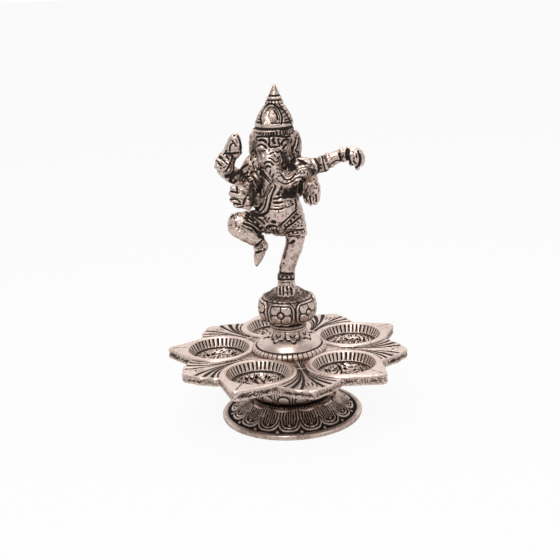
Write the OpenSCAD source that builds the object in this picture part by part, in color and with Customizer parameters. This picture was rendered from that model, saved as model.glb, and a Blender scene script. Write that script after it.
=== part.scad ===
// Aarti lamp: a dancing elephant-headed figure on a lotus globe, over a tray of five oil wells and a lotus foot.
// Lengths are in millimetres. +Z is up, the figure faces -Y, and the origin is the middle of the foot's resting plane.

/* [Foot] */
// Radius of the foot's rim on the table
foot_r = 32.2; // [29:0.1:36]
// Height of the foot, from the table to the seat of the stem
foot_h = 11.5; // [10.5:0.1:14]
// Thickness of the foot's cast wall
foot_wall = 2.4; // [1.8:0.1:3]
// Width of the ring that rests on the table
foot_rim_w = 3.4; // [2.6:0.1:4.2]
// Number of fluted petals round the foot
foot_petals = 16; // [12:1:20]
// Number of broad lobes on the skirt above the petals
skirt_lobes = 8; // [6:1:10]

/* [Stem] */
// Height of the lotus stem, from the foot to the tray
stem_h = 18; // [15:0.1:22]
// Radius of the lotus stem at its widest
stem_r = 20.8; // [18:0.1:22]
// Number of rounded petals round the stem
stem_petals = 16; // [12:1:20]

/* [Tray] */
// Number of oil wells
wells = 5; // [5:1:5]
// Inner radius of a well at its mouth
well_r = 14; // [12:0.1:16]
// Depth of a well below the tray's face
well_depth = 6.2; // [5:0.1:7.5]
// Width of the bead round a well's mouth
well_bead_w = 1.3; // [1:0.1:1.6]
// Thickness of the tray's plate and of the wells' walls
tray_wall = 2.2; // [1.8:0.1:2.6]
// Height of the tray's turned-down edge, plate included
tray_edge_h = 4.2; // [3.4:0.1:5]
// Width of the turned-down edge
tray_edge_w = 1.8; // [1.5:0.1:2.1]
// Radius that rounds the tip of each well's petal
tip_round = 2.4; // [2.2:0.1:3]
// Turn of the tray on the stem, from the figure's left side, in degrees
tray_turn = 28; // [0:1:72]
// Number of flutes round the wall of a well
well_flutes = 48; // [24:1:48]

/* [Dome and neck] */
// Outer radius of the gadrooned ring at the dome's base
dome_r = 17.1; // [15:0.1:19]
// Height of the dome, from the tray to the neck ring
dome_h = 8; // [7:0.1:10]
// Number of gadroons round the dome's base
gadroons = 44; // [30:1:50]
// Number of pointed lappets on the dome
lappets = 10; // [8:1:12]
// Outer radius of the neck ring
neck_r = 9.2; // [8.4:0.1:10.4]
// Height of the neck ring
neck_h = 2.2; // [1.8:0.1:2.8]

/* [Globe] */
// Largest radius of the lotus globe
globe_r = 13; // [12:0.1:15]
// Height of the globe, from the neck ring to the figure's sole
globe_h = 16.1; // [14:0.1:19]
// Number of flower panels round the globe
globe_panels = 6; // [5:1:7]

/* [Figure] */
// Height of the figure, from its sole to the tip of the crown
figure_h = 94.6; // [80:0.1:110]

/* [Tie rod and fasteners] */
// Radius of the tie rod that clamps the stack
rod_r = 2; // [1.7:0.1:2.3]
// Gap round the tie rod in each piece that it passes through
rod_gap = 0.15; // [0.1:0.01:0.2]
// Length of the tie rod that screws into the figure's leg
rod_grip = 8; // [6:0.1:10]
// Distance across the nut's flats
nut_flats = 7; // [6:0.1:8.2]
// Height of the nut
nut_h = 3.2; // [2.6:0.1:3.8]
// Outer radius of the flat washer
washer_r = 4.5; // [4:0.1:5.3]
// Thickness of the flat washer
washer_h = 0.8; // [0.6:0.1:1]
// Thickness of the split lock washer
lock_h = 1; // [0.8:0.1:1.2]

/* [Hidden] */
cast_metal = [0.72, 0.66, 0.62];
plated_steel = [0.62, 0.62, 0.64];
overrun = 0.5;
round_fn = 96;
lobe_fn = 48;
hole_fn = 32;
bead_fn = 24;
flute_fn = 16;
arc_step = 9;

// Heights of the stacked pieces
foot_top = foot_h;
tray_under = foot_top + stem_h;
tray_top = tray_under + tray_wall;
dome_top = tray_top + dome_h;
neck_top = dome_top + neck_h;
globe_top = neck_top + globe_h;

// Foot details
relief = 0.7;
prism_share = 0.62;
petal_border = 0.8;
petal_gap = 0.25;
petal_rib_w = 0.5;
petal_end_r = foot_r * 0.845;
bead_r = 0.75;
bead_ring_r = foot_r * 0.872;
skirt_r = foot_r * 0.665;
skirt_h = 1.2;
skirt_z = foot_h * 0.74;
seat_wall = 2.6;
boss_r = 7;
rod_clear = 0.6;
rod_tail = 0.4;
foot_slope_shares = [[0.88, 0.18], [0.84, 0.25], [0.76, 0.40], [0.68, 0.62], [0.62, 0.80]];
foot_rim_shares = [[1, 0], [1, 0.17], [0.985, 0.21], [0.96, 0.23], [0.93, 0.22], [0.905, 0.165]];
foot_neck_shares = [[0.5, 0.86], [0.47, 1]];

// Fasteners under the foot, from the table up
nut_z = rod_clear + rod_tail;
lock_z = nut_z + nut_h;
washer_z = lock_z + lock_h;
boss_z = washer_z + washer_h;
bore_r = rod_r + rod_gap;
lock_slit_w = 0.9;

// Stem details
stem_shares = [[0.65, 0], [0.66, 0.04], [0.86, 0.12], [0.97, 0.24], [1, 0.37], [0.95, 0.52], [0.86, 0.64],
               [0.79, 0.70], [0.79, 1]];
stem_petal_low_share = 0.05;
stem_petal_high_share = 0.62;
stem_dot_r = 0.9;

// Tray details
well_ring_r = dome_r + well_bead_w + well_r + petal_gap;
tray_tip_r = well_ring_r + well_r * 1.7;
fan_tip_r = tray_tip_r * 0.952;
hub_r = well_ring_r + well_r * 0.5;
well_petal_r = well_r + well_bead_w + tray_edge_w;
well_bead_h = 0.7;
well_bead_shares = [[1, 0], [0.8, 0.7], [0.5, 1], [0.2, 0.7], [0, 0]];
well_shelf_r = well_r * 0.84;
well_ledge_r = well_shelf_r * 0.93;
well_shelf_z = well_depth * 0.62;
well_floor_r = well_r * 0.62;
flute_r = 0.42;
rosette_petals = 8;
rosette_h = 0.5;
rosette_reach = well_floor_r * 0.58;
rosette_petal_r = rosette_reach * 0.34;
rosette_eye_r = rosette_reach * 0.52;
groove_w = 0.7;
groove_depth = 0.5;
fan_lobe_shares = [[0.924, 0, 0.076], [0.872, 0.104, 0.073], [0.872, -0.104, 0.073],
                   [0.782, 0.19, 0.078], [0.782, -0.19, 0.078]];
fan_groove_shares = [[0.30, 0.045], [0.24, 0.085], [0.185, 0.125]];

// Dome details
gadroon_h = 2.3;
gadroon_groove_w = 0.5;
gadroon_shares = [[-0.25, 0], [0, 0.3], [0, 0.6], [-0.25, 0.9], [-0.7, 1]];
gadroon_seat_share = 0.8;
dome_shares = [[0.89, 0.29], [0.86, 0.42], [0.76, 0.64], [0.62, 0.83], [0.52, 0.93], [0.5, 1]];
lappet_out_share = 0.72;
lappet_r = dome_r * 0.145;
lappet_point_w = lappet_r * 1.15;
neck_shares = [[0.92, 0], [1, 0.25], [1, 0.6], [0.94, 0.8], [0.86, 1]];

// Globe details
globe_shares = [[0.58, 0], [0.65, 0.06], [0.79, 0.16], [0.92, 0.31], [0.985, 0.48], [1, 0.61], [0.955, 0.77],
                [0.87, 0.875], [0.87, 0.915], [0.81, 0.945], [0.62, 0.985], [0.5, 1]];
globe_turn = 17;
panel_border = 0.6;
panel_low_share = 0.15;
panel_high_share = 0.83;
panel_corner_share = 0.7;
flower_r = 1.6;
flower_petals = 4;
flower_reach = 2;

// Places and half sizes along the figure's limbs: across, towards the back, up, half width, half depth
standing_leg_shares = [[0, -0.005, 0, 0.047, 0.041], [0, 0, 0.037, 0.044, 0.040], [0.001, 0.002, 0.085, 0.037, 0.037],
                       [0.007, 0.003, 0.127, 0.039, 0.040], [0.023, 0, 0.175, 0.040, 0.043],
                       [0.041, -0.006, 0.223, 0.042, 0.045], [0.052, -0.012, 0.271, 0.045, 0.048],
                       [0.055, -0.009, 0.318, 0.053, 0.055], [0.047, -0.008, 0.372, 0.055, 0.053],
                       [0.026, -0.006, 0.420, 0.036, 0.036]];
thigh_shares = [[0.01, -0.005, 0.370, 0.050, 0.050], [-0.03, -0.018, 0.366, 0.056, 0.058],
                [-0.090, -0.034, 0.368, 0.057, 0.058], [-0.155, -0.052, 0.376, 0.051, 0.052],
                [-0.212, -0.062, 0.378, 0.045, 0.046], [-0.243, -0.064, 0.374, 0.030, 0.032],
                [-0.257, -0.064, 0.369, 0.010, 0.012]];
shin_shares = [[-0.252, -0.066, 0.372, 0.010, 0.012], [-0.241, -0.068, 0.363, 0.030, 0.032],
               [-0.217, -0.071, 0.348, 0.039, 0.041], [-0.179, -0.073, 0.324, 0.039, 0.041],
               [-0.139, -0.069, 0.298, 0.037, 0.038], [-0.112, -0.061, 0.280, 0.033, 0.034],
               [-0.100, -0.057, 0.271, 0.018, 0.020]];
hanging_foot_shares = [[-0.107, -0.056, 0.292, 0.018, 0.020], [-0.108, -0.056, 0.275, 0.029, 0.032],
                       [-0.112, -0.056, 0.250, 0.028, 0.031], [-0.118, -0.057, 0.220, 0.026, 0.028],
                       [-0.127, -0.059, 0.191, 0.020, 0.022], [-0.134, -0.061, 0.168, 0.011, 0.014],
                       [-0.138, -0.062, 0.158, 0.003, 0.004]];
torso_shares = [[-0.011, 0.002, 0.290, 0.030, 0.026], [-0.011, 0, 0.310, 0.062, 0.048],
                [-0.009, -0.006, 0.340, 0.090, 0.072], [-0.010, -0.016, 0.382, 0.107, 0.090],
                [-0.013, -0.021, 0.425, 0.102, 0.094], [-0.016, -0.016, 0.467, 0.093, 0.082],
                [-0.019, -0.006, 0.510, 0.098, 0.072], [-0.021, 0, 0.552, 0.114, 0.070],
                [-0.021, 0.004, 0.592, 0.118, 0.064], [-0.021, 0.008, 0.624, 0.083, 0.055],
                [-0.019, 0.011, 0.660, 0.050, 0.046]];
head_shares = [[-0.030, -0.045, 0.600, 0.020, 0.020], [-0.028, -0.038, 0.620, 0.048, 0.045],
               [-0.026, -0.028, 0.650, 0.068, 0.066], [-0.024, -0.018, 0.690, 0.079, 0.080],
               [-0.022, -0.012, 0.732, 0.083, 0.084], [-0.020, -0.006, 0.775, 0.085, 0.085],
               [-0.018, -0.005, 0.800, 0.083, 0.083]];
trunk_shares = [[-0.026, -0.070, 0.738, 0.030, 0.018], [-0.031, -0.082, 0.708, 0.042, 0.027],
                [-0.035, -0.094, 0.680, 0.044, 0.032], [-0.036, -0.104, 0.654, 0.038, 0.032],
                [-0.033, -0.111, 0.630, 0.031, 0.030],
                [-0.020, -0.117, 0.598, 0.026, 0.027], [0.004, -0.118, 0.574, 0.023, 0.024],
                [0.034, -0.115, 0.566, 0.021, 0.022], [0.064, -0.110, 0.580, 0.020, 0.021],
                [0.090, -0.104, 0.602, 0.022, 0.022], [0.118, -0.098, 0.608, 0.023, 0.023],
                [0.140, -0.093, 0.598, 0.019, 0.019], [0.150, -0.091, 0.588, 0.010, 0.010]];
raised_arm_shares = [[-0.085, 0.014, 0.592, 0.042, 0.040], [-0.130, 0.012, 0.578, 0.043, 0.040],
                     [-0.172, 0.006, 0.571, 0.041, 0.038], [-0.211, 0.001, 0.579, 0.040, 0.036],
                     [-0.243, -0.003, 0.604, 0.041, 0.036], [-0.256, -0.006, 0.634, 0.045, 0.039],
                     [-0.246, -0.006, 0.662, 0.043, 0.038], [-0.232, -0.006, 0.686, 0.036, 0.030],
                     [-0.222, -0.006, 0.700, 0.018, 0.016]];
bud_shares = [[-0.235, -0.006, 0.662, 0.020, 0.018], [-0.226, -0.006, 0.684, 0.038, 0.026],
              [-0.213, -0.006, 0.704, 0.045, 0.030], [-0.208, -0.006, 0.730, 0.039, 0.027],
              [-0.202, -0.006, 0.755, 0.030, 0.022], [-0.196, -0.006, 0.774, 0.018, 0.014],
              [-0.192, -0.006, 0.784, 0.005, 0.004]];
bent_arm_shares = [[-0.085, -0.010, 0.590, 0.036, 0.036], [-0.120, -0.034, 0.562, 0.038, 0.036],
                   [-0.145, -0.058, 0.535, 0.036, 0.034], [-0.160, -0.080, 0.515, 0.032, 0.030],
                   [-0.166, -0.092, 0.495, 0.024, 0.022]];
long_arm_shares = [[0.050, 0.010, 0.608, 0.040, 0.042], [0.095, 0.008, 0.614, 0.044, 0.042],
                   [0.140, 0.004, 0.607, 0.041, 0.037], [0.185, 0, 0.614, 0.037, 0.034],
                   [0.240, 0, 0.639, 0.032, 0.030], [0.295, 0, 0.658, 0.030, 0.029],
                   [0.324, -0.002, 0.666, 0.027, 0.026], [0.343, -0.006, 0.665, 0.028, 0.026],
                   [0.361, -0.010, 0.651, 0.027, 0.026], [0.370, -0.014, 0.632, 0.023, 0.022],
                   [0.372, -0.016, 0.612, 0.014, 0.014], [0.370, -0.017, 0.602, 0.005, 0.006]];
low_arm_shares = [[0.085, 0.004, 0.602, 0.038, 0.040], [0.118, -0.012, 0.588, 0.036, 0.036],
                  [0.138, -0.032, 0.568, 0.031, 0.032], [0.142, -0.052, 0.548, 0.027, 0.028],
                  [0.141, -0.064, 0.530, 0.020, 0.020]];
hair_shares = [[-0.088, 0.006, 0.690, 0.024, 0.034], [-0.100, 0.004, 0.655, 0.044, 0.040],
               [-0.126, 0.002, 0.618, 0.050, 0.042], [-0.160, 0.001, 0.590, 0.043, 0.036],
               [-0.188, 0.001, 0.577, 0.020, 0.018]];
sash_shares = [[0.020, -0.074, 0.600, 0.010, 0.008], [-0.010, -0.079, 0.572, 0.022, 0.011],
               [-0.034, -0.080, 0.530, 0.024, 0.012], [-0.062, -0.085, 0.470, 0.025, 0.013],
               [-0.086, -0.082, 0.425, 0.023, 0.013], [-0.108, -0.058, 0.395, 0.012, 0.010]];
medallion_shares = [[-0.032, -0.090, 0.810, 0.030, 0.010], [-0.032, -0.089, 0.824, 0.042, 0.013],
                    [-0.032, -0.079, 0.848, 0.041, 0.014], [-0.031, -0.063, 0.874, 0.030, 0.012],
                    [-0.030, -0.047, 0.898, 0.010, 0.008]];
crown_shares = [[0.092, 0.742], [0.096, 0.749], [0.096, 0.776], [0.091, 0.782], [0.091, 0.788], [0.095, 0.794],
                [0.095, 0.803], [0.089, 0.809], [0.088, 0.820], [0.081, 0.840], [0.068, 0.864], [0.054, 0.884],
                [0.043, 0.901], [0.035, 0.916], [0.032, 0.924], [0.032, 0.932], [0.026, 0.940], [0.014, 0.972]];
crown_place_share = [-0.019, -0.002];
crown_foot_share = 0.74;
crown_slope = 0.042;

// Round parts of the figure: across, towards the back, up, then its three half sizes
belly_shares = [-0.016, -0.036, 0.402, 0.080, 0.082, 0.072];
ear_shares = [[-0.106, 0.008, 0.706, 0.016, 0.050, 0.082, 35], [0.078, 0.010, 0.706, 0.016, 0.052, 0.078, -38]];
brow_shares = [[-0.066, -0.068, 0.728, 0.034, 0.030, 0.032], [0.012, -0.070, 0.728, 0.034, 0.030, 0.032]];
cheek_shares = [[-0.070, -0.058, 0.668, 0.034, 0.032, 0.044], [0.010, -0.060, 0.668, 0.034, 0.032, 0.044]];
palm_shares = [-0.158, -0.094, 0.500, 0.042, 0.028, 0.055];
low_palm_shares = [0.140, -0.062, 0.512, 0.040, 0.026, 0.060];
sweet_shares = [0.138, -0.088, 0.520, 0.031, 0.020, 0.038];
side_shares = [-0.112, -0.028, 0.482, 0.040, 0.028, 0.062];
web_shares = [0.084, 0.006, 0.542, 0.056, 0.016, 0.078];
buckle_shares = [-0.024, -0.086, 0.344, 0.036, 0.018, 0.028];
thumb_pad_shares = [-0.117, -0.105, 0.487, 0.018, 0.018, 0.026];

// Fingers and toes: two ends, then the radius at each end
finger_shares = [[[-0.162, -0.104, 0.529], [-0.222, -0.086, 0.542], 0.0180, 0.0160],
                 [[-0.158, -0.108, 0.504], [-0.230, -0.090, 0.517], 0.0180, 0.0160],
                 [[-0.156, -0.108, 0.479], [-0.228, -0.090, 0.490], 0.0175, 0.0155],
                 [[-0.154, -0.104, 0.458], [-0.214, -0.088, 0.465], 0.0160, 0.0140]];
low_finger_shares = [[[0.108, -0.074, 0.492], [0.113, -0.070, 0.463], 0.0150, 0.0130],
                     [[0.130, -0.080, 0.486], [0.132, -0.074, 0.452], 0.0155, 0.0135],
                     [[0.153, -0.078, 0.487], [0.151, -0.072, 0.454], 0.0150, 0.0130],
                     [[0.166, -0.070, 0.496], [0.163, -0.066, 0.467], 0.0140, 0.0120]];
fist_shares = [[[-0.290, -0.020, 0.634], [-0.244, -0.042, 0.620], 0.0175, 0.0150],
               [[-0.284, -0.020, 0.660], [-0.238, -0.040, 0.645], 0.0170, 0.0150],
               [[-0.264, -0.020, 0.682], [-0.228, -0.036, 0.669], 0.0155, 0.0135]];
long_finger_shares = [[[0.353, -0.024, 0.655], [0.353, -0.030, 0.598], 0.0190, 0.0130],
                      [[0.331, -0.020, 0.656], [0.326, -0.026, 0.618], 0.0180, 0.0130]];
toe_shares = [[[-0.030, -0.040, 0.018], [-0.033, -0.066, 0.012], 0.0130, 0.0110],
              [[-0.012, -0.044, 0.020], [-0.013, -0.076, 0.012], 0.0130, 0.0110],
              [[0.006, -0.044, 0.020], [0.006, -0.076, 0.012], 0.0130, 0.0110],
              [[0.024, -0.040, 0.018], [0.026, -0.068, 0.012], 0.0130, 0.0110]];
heel_share = 0.034;
ball_share = 0.0155;

// Bands round the limbs: where each starts and ends, in stations along its limb
anklet_shares = [1.6, 2.4];
leg_hem_shares = [6.35, 6.75];
hanging_anklet_shares = [1.1, 2.5];
knee_hem_shares = [4.35, 4.8];
armlet_shares = [[3.1, 3.45], [3.65, 3.9]];
bracelet_shares = [4.75, 5.6];
belt_shares = [4.85, 5.35];
band_lift_share = 0.005;
band_edge_shares = [[0, -1.6], [0.05, 1], [0.5, 1.2], [0.95, 1], [1, -1.6]];

// How finely the figure's limbs are built
limb_steps = 2;
limb_sides = 12;
body_sides = 18;
lump_fn = 12;
digit_fn = 8;
crown_fn = 24;

// Repeats its children n times in a circle
module around(n, turn = 0) {
    for (i = [0 : n - 1])
        rotate(turn + 360 * i / n) children();
}

// Extrudes a flat outline outwards between two radii: its x runs round the axis, its y runs up
module radial_prism(from, to) {
    translate([from, 0, 0]) rotate([90, 0, 90]) linear_extrude(to - from) children();
}

// The hole that the tie rod passes through
module rod_bore(from, to) {
    translate([0, 0, from - overrun]) cylinder(r = bore_r, h = to - from + 2 * overrun, $fn = round_fn);
}

// Turns a list of shares into real radii and heights, lifted outwards or upwards by the given amounts
function sized(shares, r, h, out = 0, up = 0) = [for (s = shares) [s[0] * r + out, s[1] * h + up]];

module foot() {
    color(cast_metal) {
        difference() {
            union() {
                foot_body(0);
                intersection() {
                    foot_body(relief);
                    around(foot_petals) foot_petal();
                }
                translate([0, 0, skirt_z]) linear_extrude(skirt_h) skirt_outline();
                around(foot_petals, 180 / foot_petals)
                    translate([bead_ring_r, 0, foot_slope_shares[0][1] * foot_h]) sphere(r = bead_r, $fn = bead_fn);
            }
            foot_hollow();
            rod_bore(boss_z, foot_top);
        }
        difference() {
            translate([0, 0, boss_z]) cylinder(r = boss_r, h = foot_h - seat_wall - boss_z, $fn = round_fn);
            rod_bore(boss_z, foot_top);
        }
    }
}

// The foot as a solid of revolution, with its petal slope lifted
module foot_body(lift) {
    rotate_extrude($fn = round_fn)
        polygon(concat([[0, 0]], sized(foot_rim_shares, foot_r, foot_h),
                       sized(foot_slope_shares, foot_r, foot_h, 0, lift),
                       sized(foot_neck_shares, foot_r, foot_h), [[0, foot_h]]));
}

// The space under the foot that the casting leaves open
module foot_hollow() {
    ceiling = foot_h - seat_wall;
    inner_slope = [for (s = foot_slope_shares)
                   if (s[1] * foot_h > foot_wall && s[0] * foot_r < foot_r - foot_rim_w)
                       [s[0] * foot_r, s[1] * foot_h - foot_wall]];
    rotate_extrude($fn = round_fn)
        polygon(concat([[0, -overrun], [foot_r - foot_rim_w, -overrun], [foot_r - foot_rim_w, 0]], inner_slope,
                       [[foot_slope_shares[4][0] * foot_r - seat_wall, ceiling], [0, ceiling]]));
}

// One petal of the foot: a raised border round radial ribs
module foot_petal() {
    half = 180 / foot_petals;
    centre_r = (petal_end_r + petal_gap) / (1 + sin(half));
    end_r = centre_r * sin(half) - petal_gap;
    linear_extrude(foot_h) {
        difference() {
            petal_plan(centre_r, end_r);
            petal_plan(centre_r, end_r - petal_border);
        }
        for (k = [-1 : 1])
            translate([skirt_r - skirt_h, k * end_r / 2 - petal_rib_w / 2])
                square([centre_r - skirt_r + skirt_h + end_r / 3, petal_rib_w]);
    }
}

// A round-ended petal in plan, narrowing towards the axis
module petal_plan(centre_r, end_r) {
    translate([centre_r, 0]) circle(r = end_r, $fn = round_fn);
    polygon([[0, 0], [centre_r, end_r], [centre_r, -end_r]]);
}

module skirt_outline() {
    half = 180 / skirt_lobes;
    centre_r = skirt_r / (1 + sin(half));
    around(skirt_lobes, half) translate([centre_r, 0]) circle(r = centre_r * sin(half), $fn = round_fn);
    circle(r = centre_r, $fn = round_fn);
}

module stem_lotus() {
    petal_low = stem_petal_low_share * stem_h;
    petal_high = stem_petal_high_share * stem_h;
    petal_half = stem_shares[6][0] * stem_r * sin(180 / stem_petals) - petal_gap;
    color(cast_metal)
    translate([0, 0, foot_top])
    difference() {
        union() {
            stem_body(0);
            intersection() {
                stem_body(relief);
                around(stem_petals) radial_prism(stem_r * prism_share, stem_r + 2 * relief) difference() {
                    stem_petal_outline(petal_half, petal_low, petal_high, 0);
                    stem_petal_outline(petal_half, petal_low, petal_high, petal_border);
                }
            }
            intersection() {
                stem_body(relief);
                around(stem_petals) radial_prism(stem_r * prism_share, stem_r + 2 * relief)
                    translate([0, petal_low + petal_half]) circle(r = stem_dot_r, $fn = bead_fn);
            }
        }
        rod_bore(0, stem_h);
    }
}

module stem_body(lift) {
    rotate_extrude($fn = round_fn)
        polygon(concat([[0, 0]], [for (s = stem_shares)
                [s[0] * stem_r + (s[1] > 0 && s[1] < stem_shares[7][1] ? lift : 0), s[1] * stem_h]],
            [[0, stem_h]]));
}

// A petal that hangs with its round end down, drawn smaller by the inset
module stem_petal_outline(half, low, high, inset) {
    r = half - inset;
    polygon(concat([[-r, high - inset]],
                   [for (a = [180 : arc_step : 360]) [r * cos(a), low + half + r * sin(a)]],
                   [[r, high - inset]]));
}

module diya_tray() {
    color(cast_metal)
    difference() {
        union() {
            translate([0, 0, tray_under]) linear_extrude(tray_wall) difference() {
                tray_outline(0);
                around(wells, tray_turn) translate([well_ring_r, 0])
                    circle(r = well_r + tray_wall / 8, $fn = round_fn);
            }
            translate([0, 0, tray_top - tray_edge_h]) linear_extrude(tray_edge_h) difference() {
                tray_outline(0);
                tray_outline(tray_edge_w);
            }
            around(wells, tray_turn) translate([well_ring_r, 0, tray_top]) well_bowl();
        }
        around(wells, tray_turn + 180 / wells) fan_grooves();
        rod_bore(tray_under, tray_top);
    }
}

// The tray's outline: a pointed petal for each well and a scalloped fan between each two
module tray_outline(inset) {
    circle(r = hub_r - inset, $fn = round_fn);
    around(wells, tray_turn) translate([well_ring_r, 0]) pointed_petal(inset);
    around(wells, tray_turn + 180 / wells) fan_outline(inset);
}

// A circle drawn out to a rounded point: an arc round the well, an arc round the tip, and straight sides between
module pointed_petal(inset) {
    big = well_petal_r - inset;
    small = tip_round - inset;
    reach = tray_tip_r - well_ring_r - tip_round;
    phi = acos((big - small) / reach);
    steps = round(phi / arc_step);
    polygon(concat(
        [for (i = [-steps : steps]) [reach + small * cos(i * phi / steps), small * sin(i * phi / steps)]],
        [for (a = [0 : steps * 2]) let (t = phi + (360 - 2 * phi) * a / (2 * steps)) [big * cos(t), big * sin(t)]]));
}

module fan_outline(inset) {
    for (lobe = fan_lobe_shares)
        translate([lobe[0], lobe[1]] * fan_tip_r) circle(r = lobe[2] * fan_tip_r - inset, $fn = lobe_fn);
    order = [3, 1, 0, 2, 4];
    polygon(concat([[0, 0]], [for (k = order) [fan_lobe_shares[k][0], fan_lobe_shares[k][1]] * fan_tip_r]));
}

// Curved grooves that open like a palm leaf from the middle of a fan
module fan_grooves() {
    translate([0, 0, tray_top - groove_depth]) linear_extrude(groove_depth + overrun)
        for (side = [1, -1], g = fan_groove_shares) {
            bend_r = g[0] * fan_tip_r;
            start = (1 - g[1]) * fan_tip_r - bend_r;
            translate([start, side * (bend_r + g[1] * fan_tip_r / 3)]) intersection() {
                difference() {
                    circle(r = bend_r, $fn = round_fn);
                    translate([-groove_w, side * groove_w]) circle(r = bend_r, $fn = round_fn);
                }
                translate([0, side > 0 ? -bend_r - groove_w : 0]) square([bend_r + groove_w, bend_r + groove_w]);
            }
        }
}

// One well: a bead round its mouth, a fluted wall, a shelf, and a dished floor with a rosette
module well_bowl() {
    lean = atan2(well_shelf_z, well_r - well_shelf_r);
    wall_len = norm([well_shelf_z, well_r - well_shelf_r]);
    difference() {
        rotate_extrude($fn = round_fn)
            polygon(concat([[0, -well_depth - tray_wall], [well_floor_r, -well_depth - tray_wall],
                            [well_shelf_r + tray_wall, -well_shelf_z - tray_wall / 2],
                            [well_r + tray_wall / 3, -tray_wall / 2]],
                           sized(well_bead_shares, well_bead_w, well_bead_h, well_r),
                           [[well_shelf_r, -well_shelf_z], [well_ledge_r, -well_shelf_z],
                            [well_floor_r, -well_depth], [0, -well_depth]]));
        around(well_flutes) translate([well_shelf_r, 0, -well_shelf_z + flute_r]) rotate([0, 90 - lean, 0])
            cylinder(r = flute_r, h = wall_len - 2 * flute_r, $fn = flute_fn);
    }
    translate([0, 0, -well_depth - overrun]) linear_extrude(rosette_h + overrun) rosette();
}

module rosette() {
    around(rosette_petals) translate([rosette_reach, 0]) circle(r = rosette_petal_r, $fn = bead_fn);
    circle(r = rosette_eye_r, $fn = hole_fn);
}

module dome_collar() {
    color(cast_metal)
    translate([0, 0, tray_top])
    difference() {
        union() {
            dome_body(0);
            intersection() {
                dome_body(relief);
                linear_extrude(dome_h) lappet_outline();
            }
            difference() {
                gadroon_ring();
                around(gadroons) translate([dome_shares[0][0] * dome_r, -gadroon_groove_w / 2, -overrun])
                    cube([dome_r, gadroon_groove_w, gadroon_h + 2 * overrun]);
            }
        }
        rod_bore(0, dome_h);
    }
}

module dome_body(lift) {
    base_r = dome_r - gadroon_h / 2;
    rotate_extrude($fn = round_fn)
        polygon(concat([[0, 0], [base_r, 0], [base_r, gadroon_h * gadroon_seat_share]],
                       [for (s = dome_shares) [s[0] * dome_r + (s[1] < 1 ? lift / 2 : 0),
                                               min(s[1] * dome_h + lift / 2, dome_h)]],
                       [[0, dome_h]]));
}

module gadroon_ring() {
    rotate_extrude($fn = round_fn)
        polygon(concat([[0, 0]], sized(gadroon_shares, gadroon_h, gadroon_h, dome_r), [[0, gadroon_h]]));
}

module lappet_outline() {
    out = lappet_out_share * dome_r;
    around(lappets, 180 / lappets) {
        translate([out - lappet_r, 0]) circle(r = lappet_r, $fn = hole_fn);
        translate([out - lappet_r, 0]) rotate(-45) square([lappet_point_w, lappet_point_w]);
    }
    circle(r = out - lappet_r, $fn = round_fn);
}

module neck_ring() {
    color(cast_metal)
    translate([0, 0, dome_top])
    difference() {
        rotate_extrude($fn = round_fn)
            polygon(concat([[0, 0]], sized(neck_shares, neck_r, neck_h), [[0, neck_h]]));
        rod_bore(0, neck_h);
    }
}

module lotus_globe() {
    half = globe_r * sin(180 / globe_panels) - petal_gap;
    low = panel_low_share * globe_h;
    high = panel_high_share * globe_h;
    middle = (low + high) / 2;
    color(cast_metal)
    translate([0, 0, neck_top])
    difference() {
        union() {
            globe_body(0);
            intersection() {
                globe_body(relief);
                around(globe_panels, globe_turn) radial_prism(globe_r * prism_share, globe_r + 2 * relief) difference() {
                    panel_outline(half, low, high, 0);
                    panel_outline(half, low, high, panel_border);
                }
            }
            intersection() {
                globe_body(relief);
                around(globe_panels, globe_turn) radial_prism(globe_r * prism_share, globe_r + 2 * relief)
                    translate([0, middle]) flower_outline();
            }
        }
        rod_bore(0, globe_h);
    }
}

module globe_body(lift) {
    rotate_extrude($fn = round_fn)
        polygon(concat([[0, 0]], [for (s = globe_shares)
                [s[0] * globe_r + (s[1] > 0 && s[1] < globe_shares[7][1] ? lift : 0), s[1] * globe_h]],
            [[0, globe_h]]));
}

// An arched panel, drawn smaller by the inset
module panel_outline(half, low, high, inset) {
    corner = half * panel_corner_share;
    r = corner - inset;
    centres = [[half - corner, high - corner], [corner - half, high - corner],
               [corner - half, low + corner], [half - corner, low + corner]];
    polygon([for (q = [0 : 3], a = [0 : 2 * arc_step : 90])
        centres[q] + r * [cos(90 * q + a), sin(90 * q + a)]]);
}

// A flower with round petals
module flower_outline() {
    polygon([for (a = [0 : arc_step : 360 - arc_step])
        let (r = flower_reach + flower_r * abs(cos(flower_petals * a / 2))) [r * cos(a), r * sin(a)]]);
}

// A point between b and c on the smooth curve through a, b, c and d
function between(a, b, c, d, t) =
    0.5 * (2 * b + (c - a) * t + (2 * a - 5 * b + 4 * c - d) * t * t + (3 * b - a - 3 * c + d) * t * t * t);

// More stations along a limb, on a smooth curve through those given
function smoothed(s, n) = concat(
    [for (i = [0 : len(s) - 2], k = [0 : n - 1])
        between(s[max(i - 1, 0)], s[i], s[i + 1], s[min(i + 2, len(s) - 1)], k / n)],
    [s[len(s) - 1]]);

// The place and half sizes of a limb at any point between its stations
function station(s, t) =
    let (i = min(floor(t), len(s) - 2))
    between(s[max(i - 1, 0)], s[i], s[i + 1], s[min(i + 2, len(s) - 1)], t - i);

function lifted(s, lift) = [s[0], s[1], s[2], s[3] + lift, s[4] + lift];

function place(s) = [s[0], s[1], s[2]];
function unit(v) = v / norm(v);

// One elliptical ring of points square to the limb
function limb_ring(path, i, sides) =
    let (last = len(path) - 1,
         along = unit(place(path[min(i + 1, last)]) - place(path[max(i - 1, 0)])),
         across = unit(cross(along, [0, 1, 0])),
         depth = cross(across, along))
    [for (k = [0 : sides - 1])
        place(path[i]) + across * path[i][3] * cos(360 * k / sides) + depth * path[i][4] * sin(360 * k / sides)];

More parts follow.
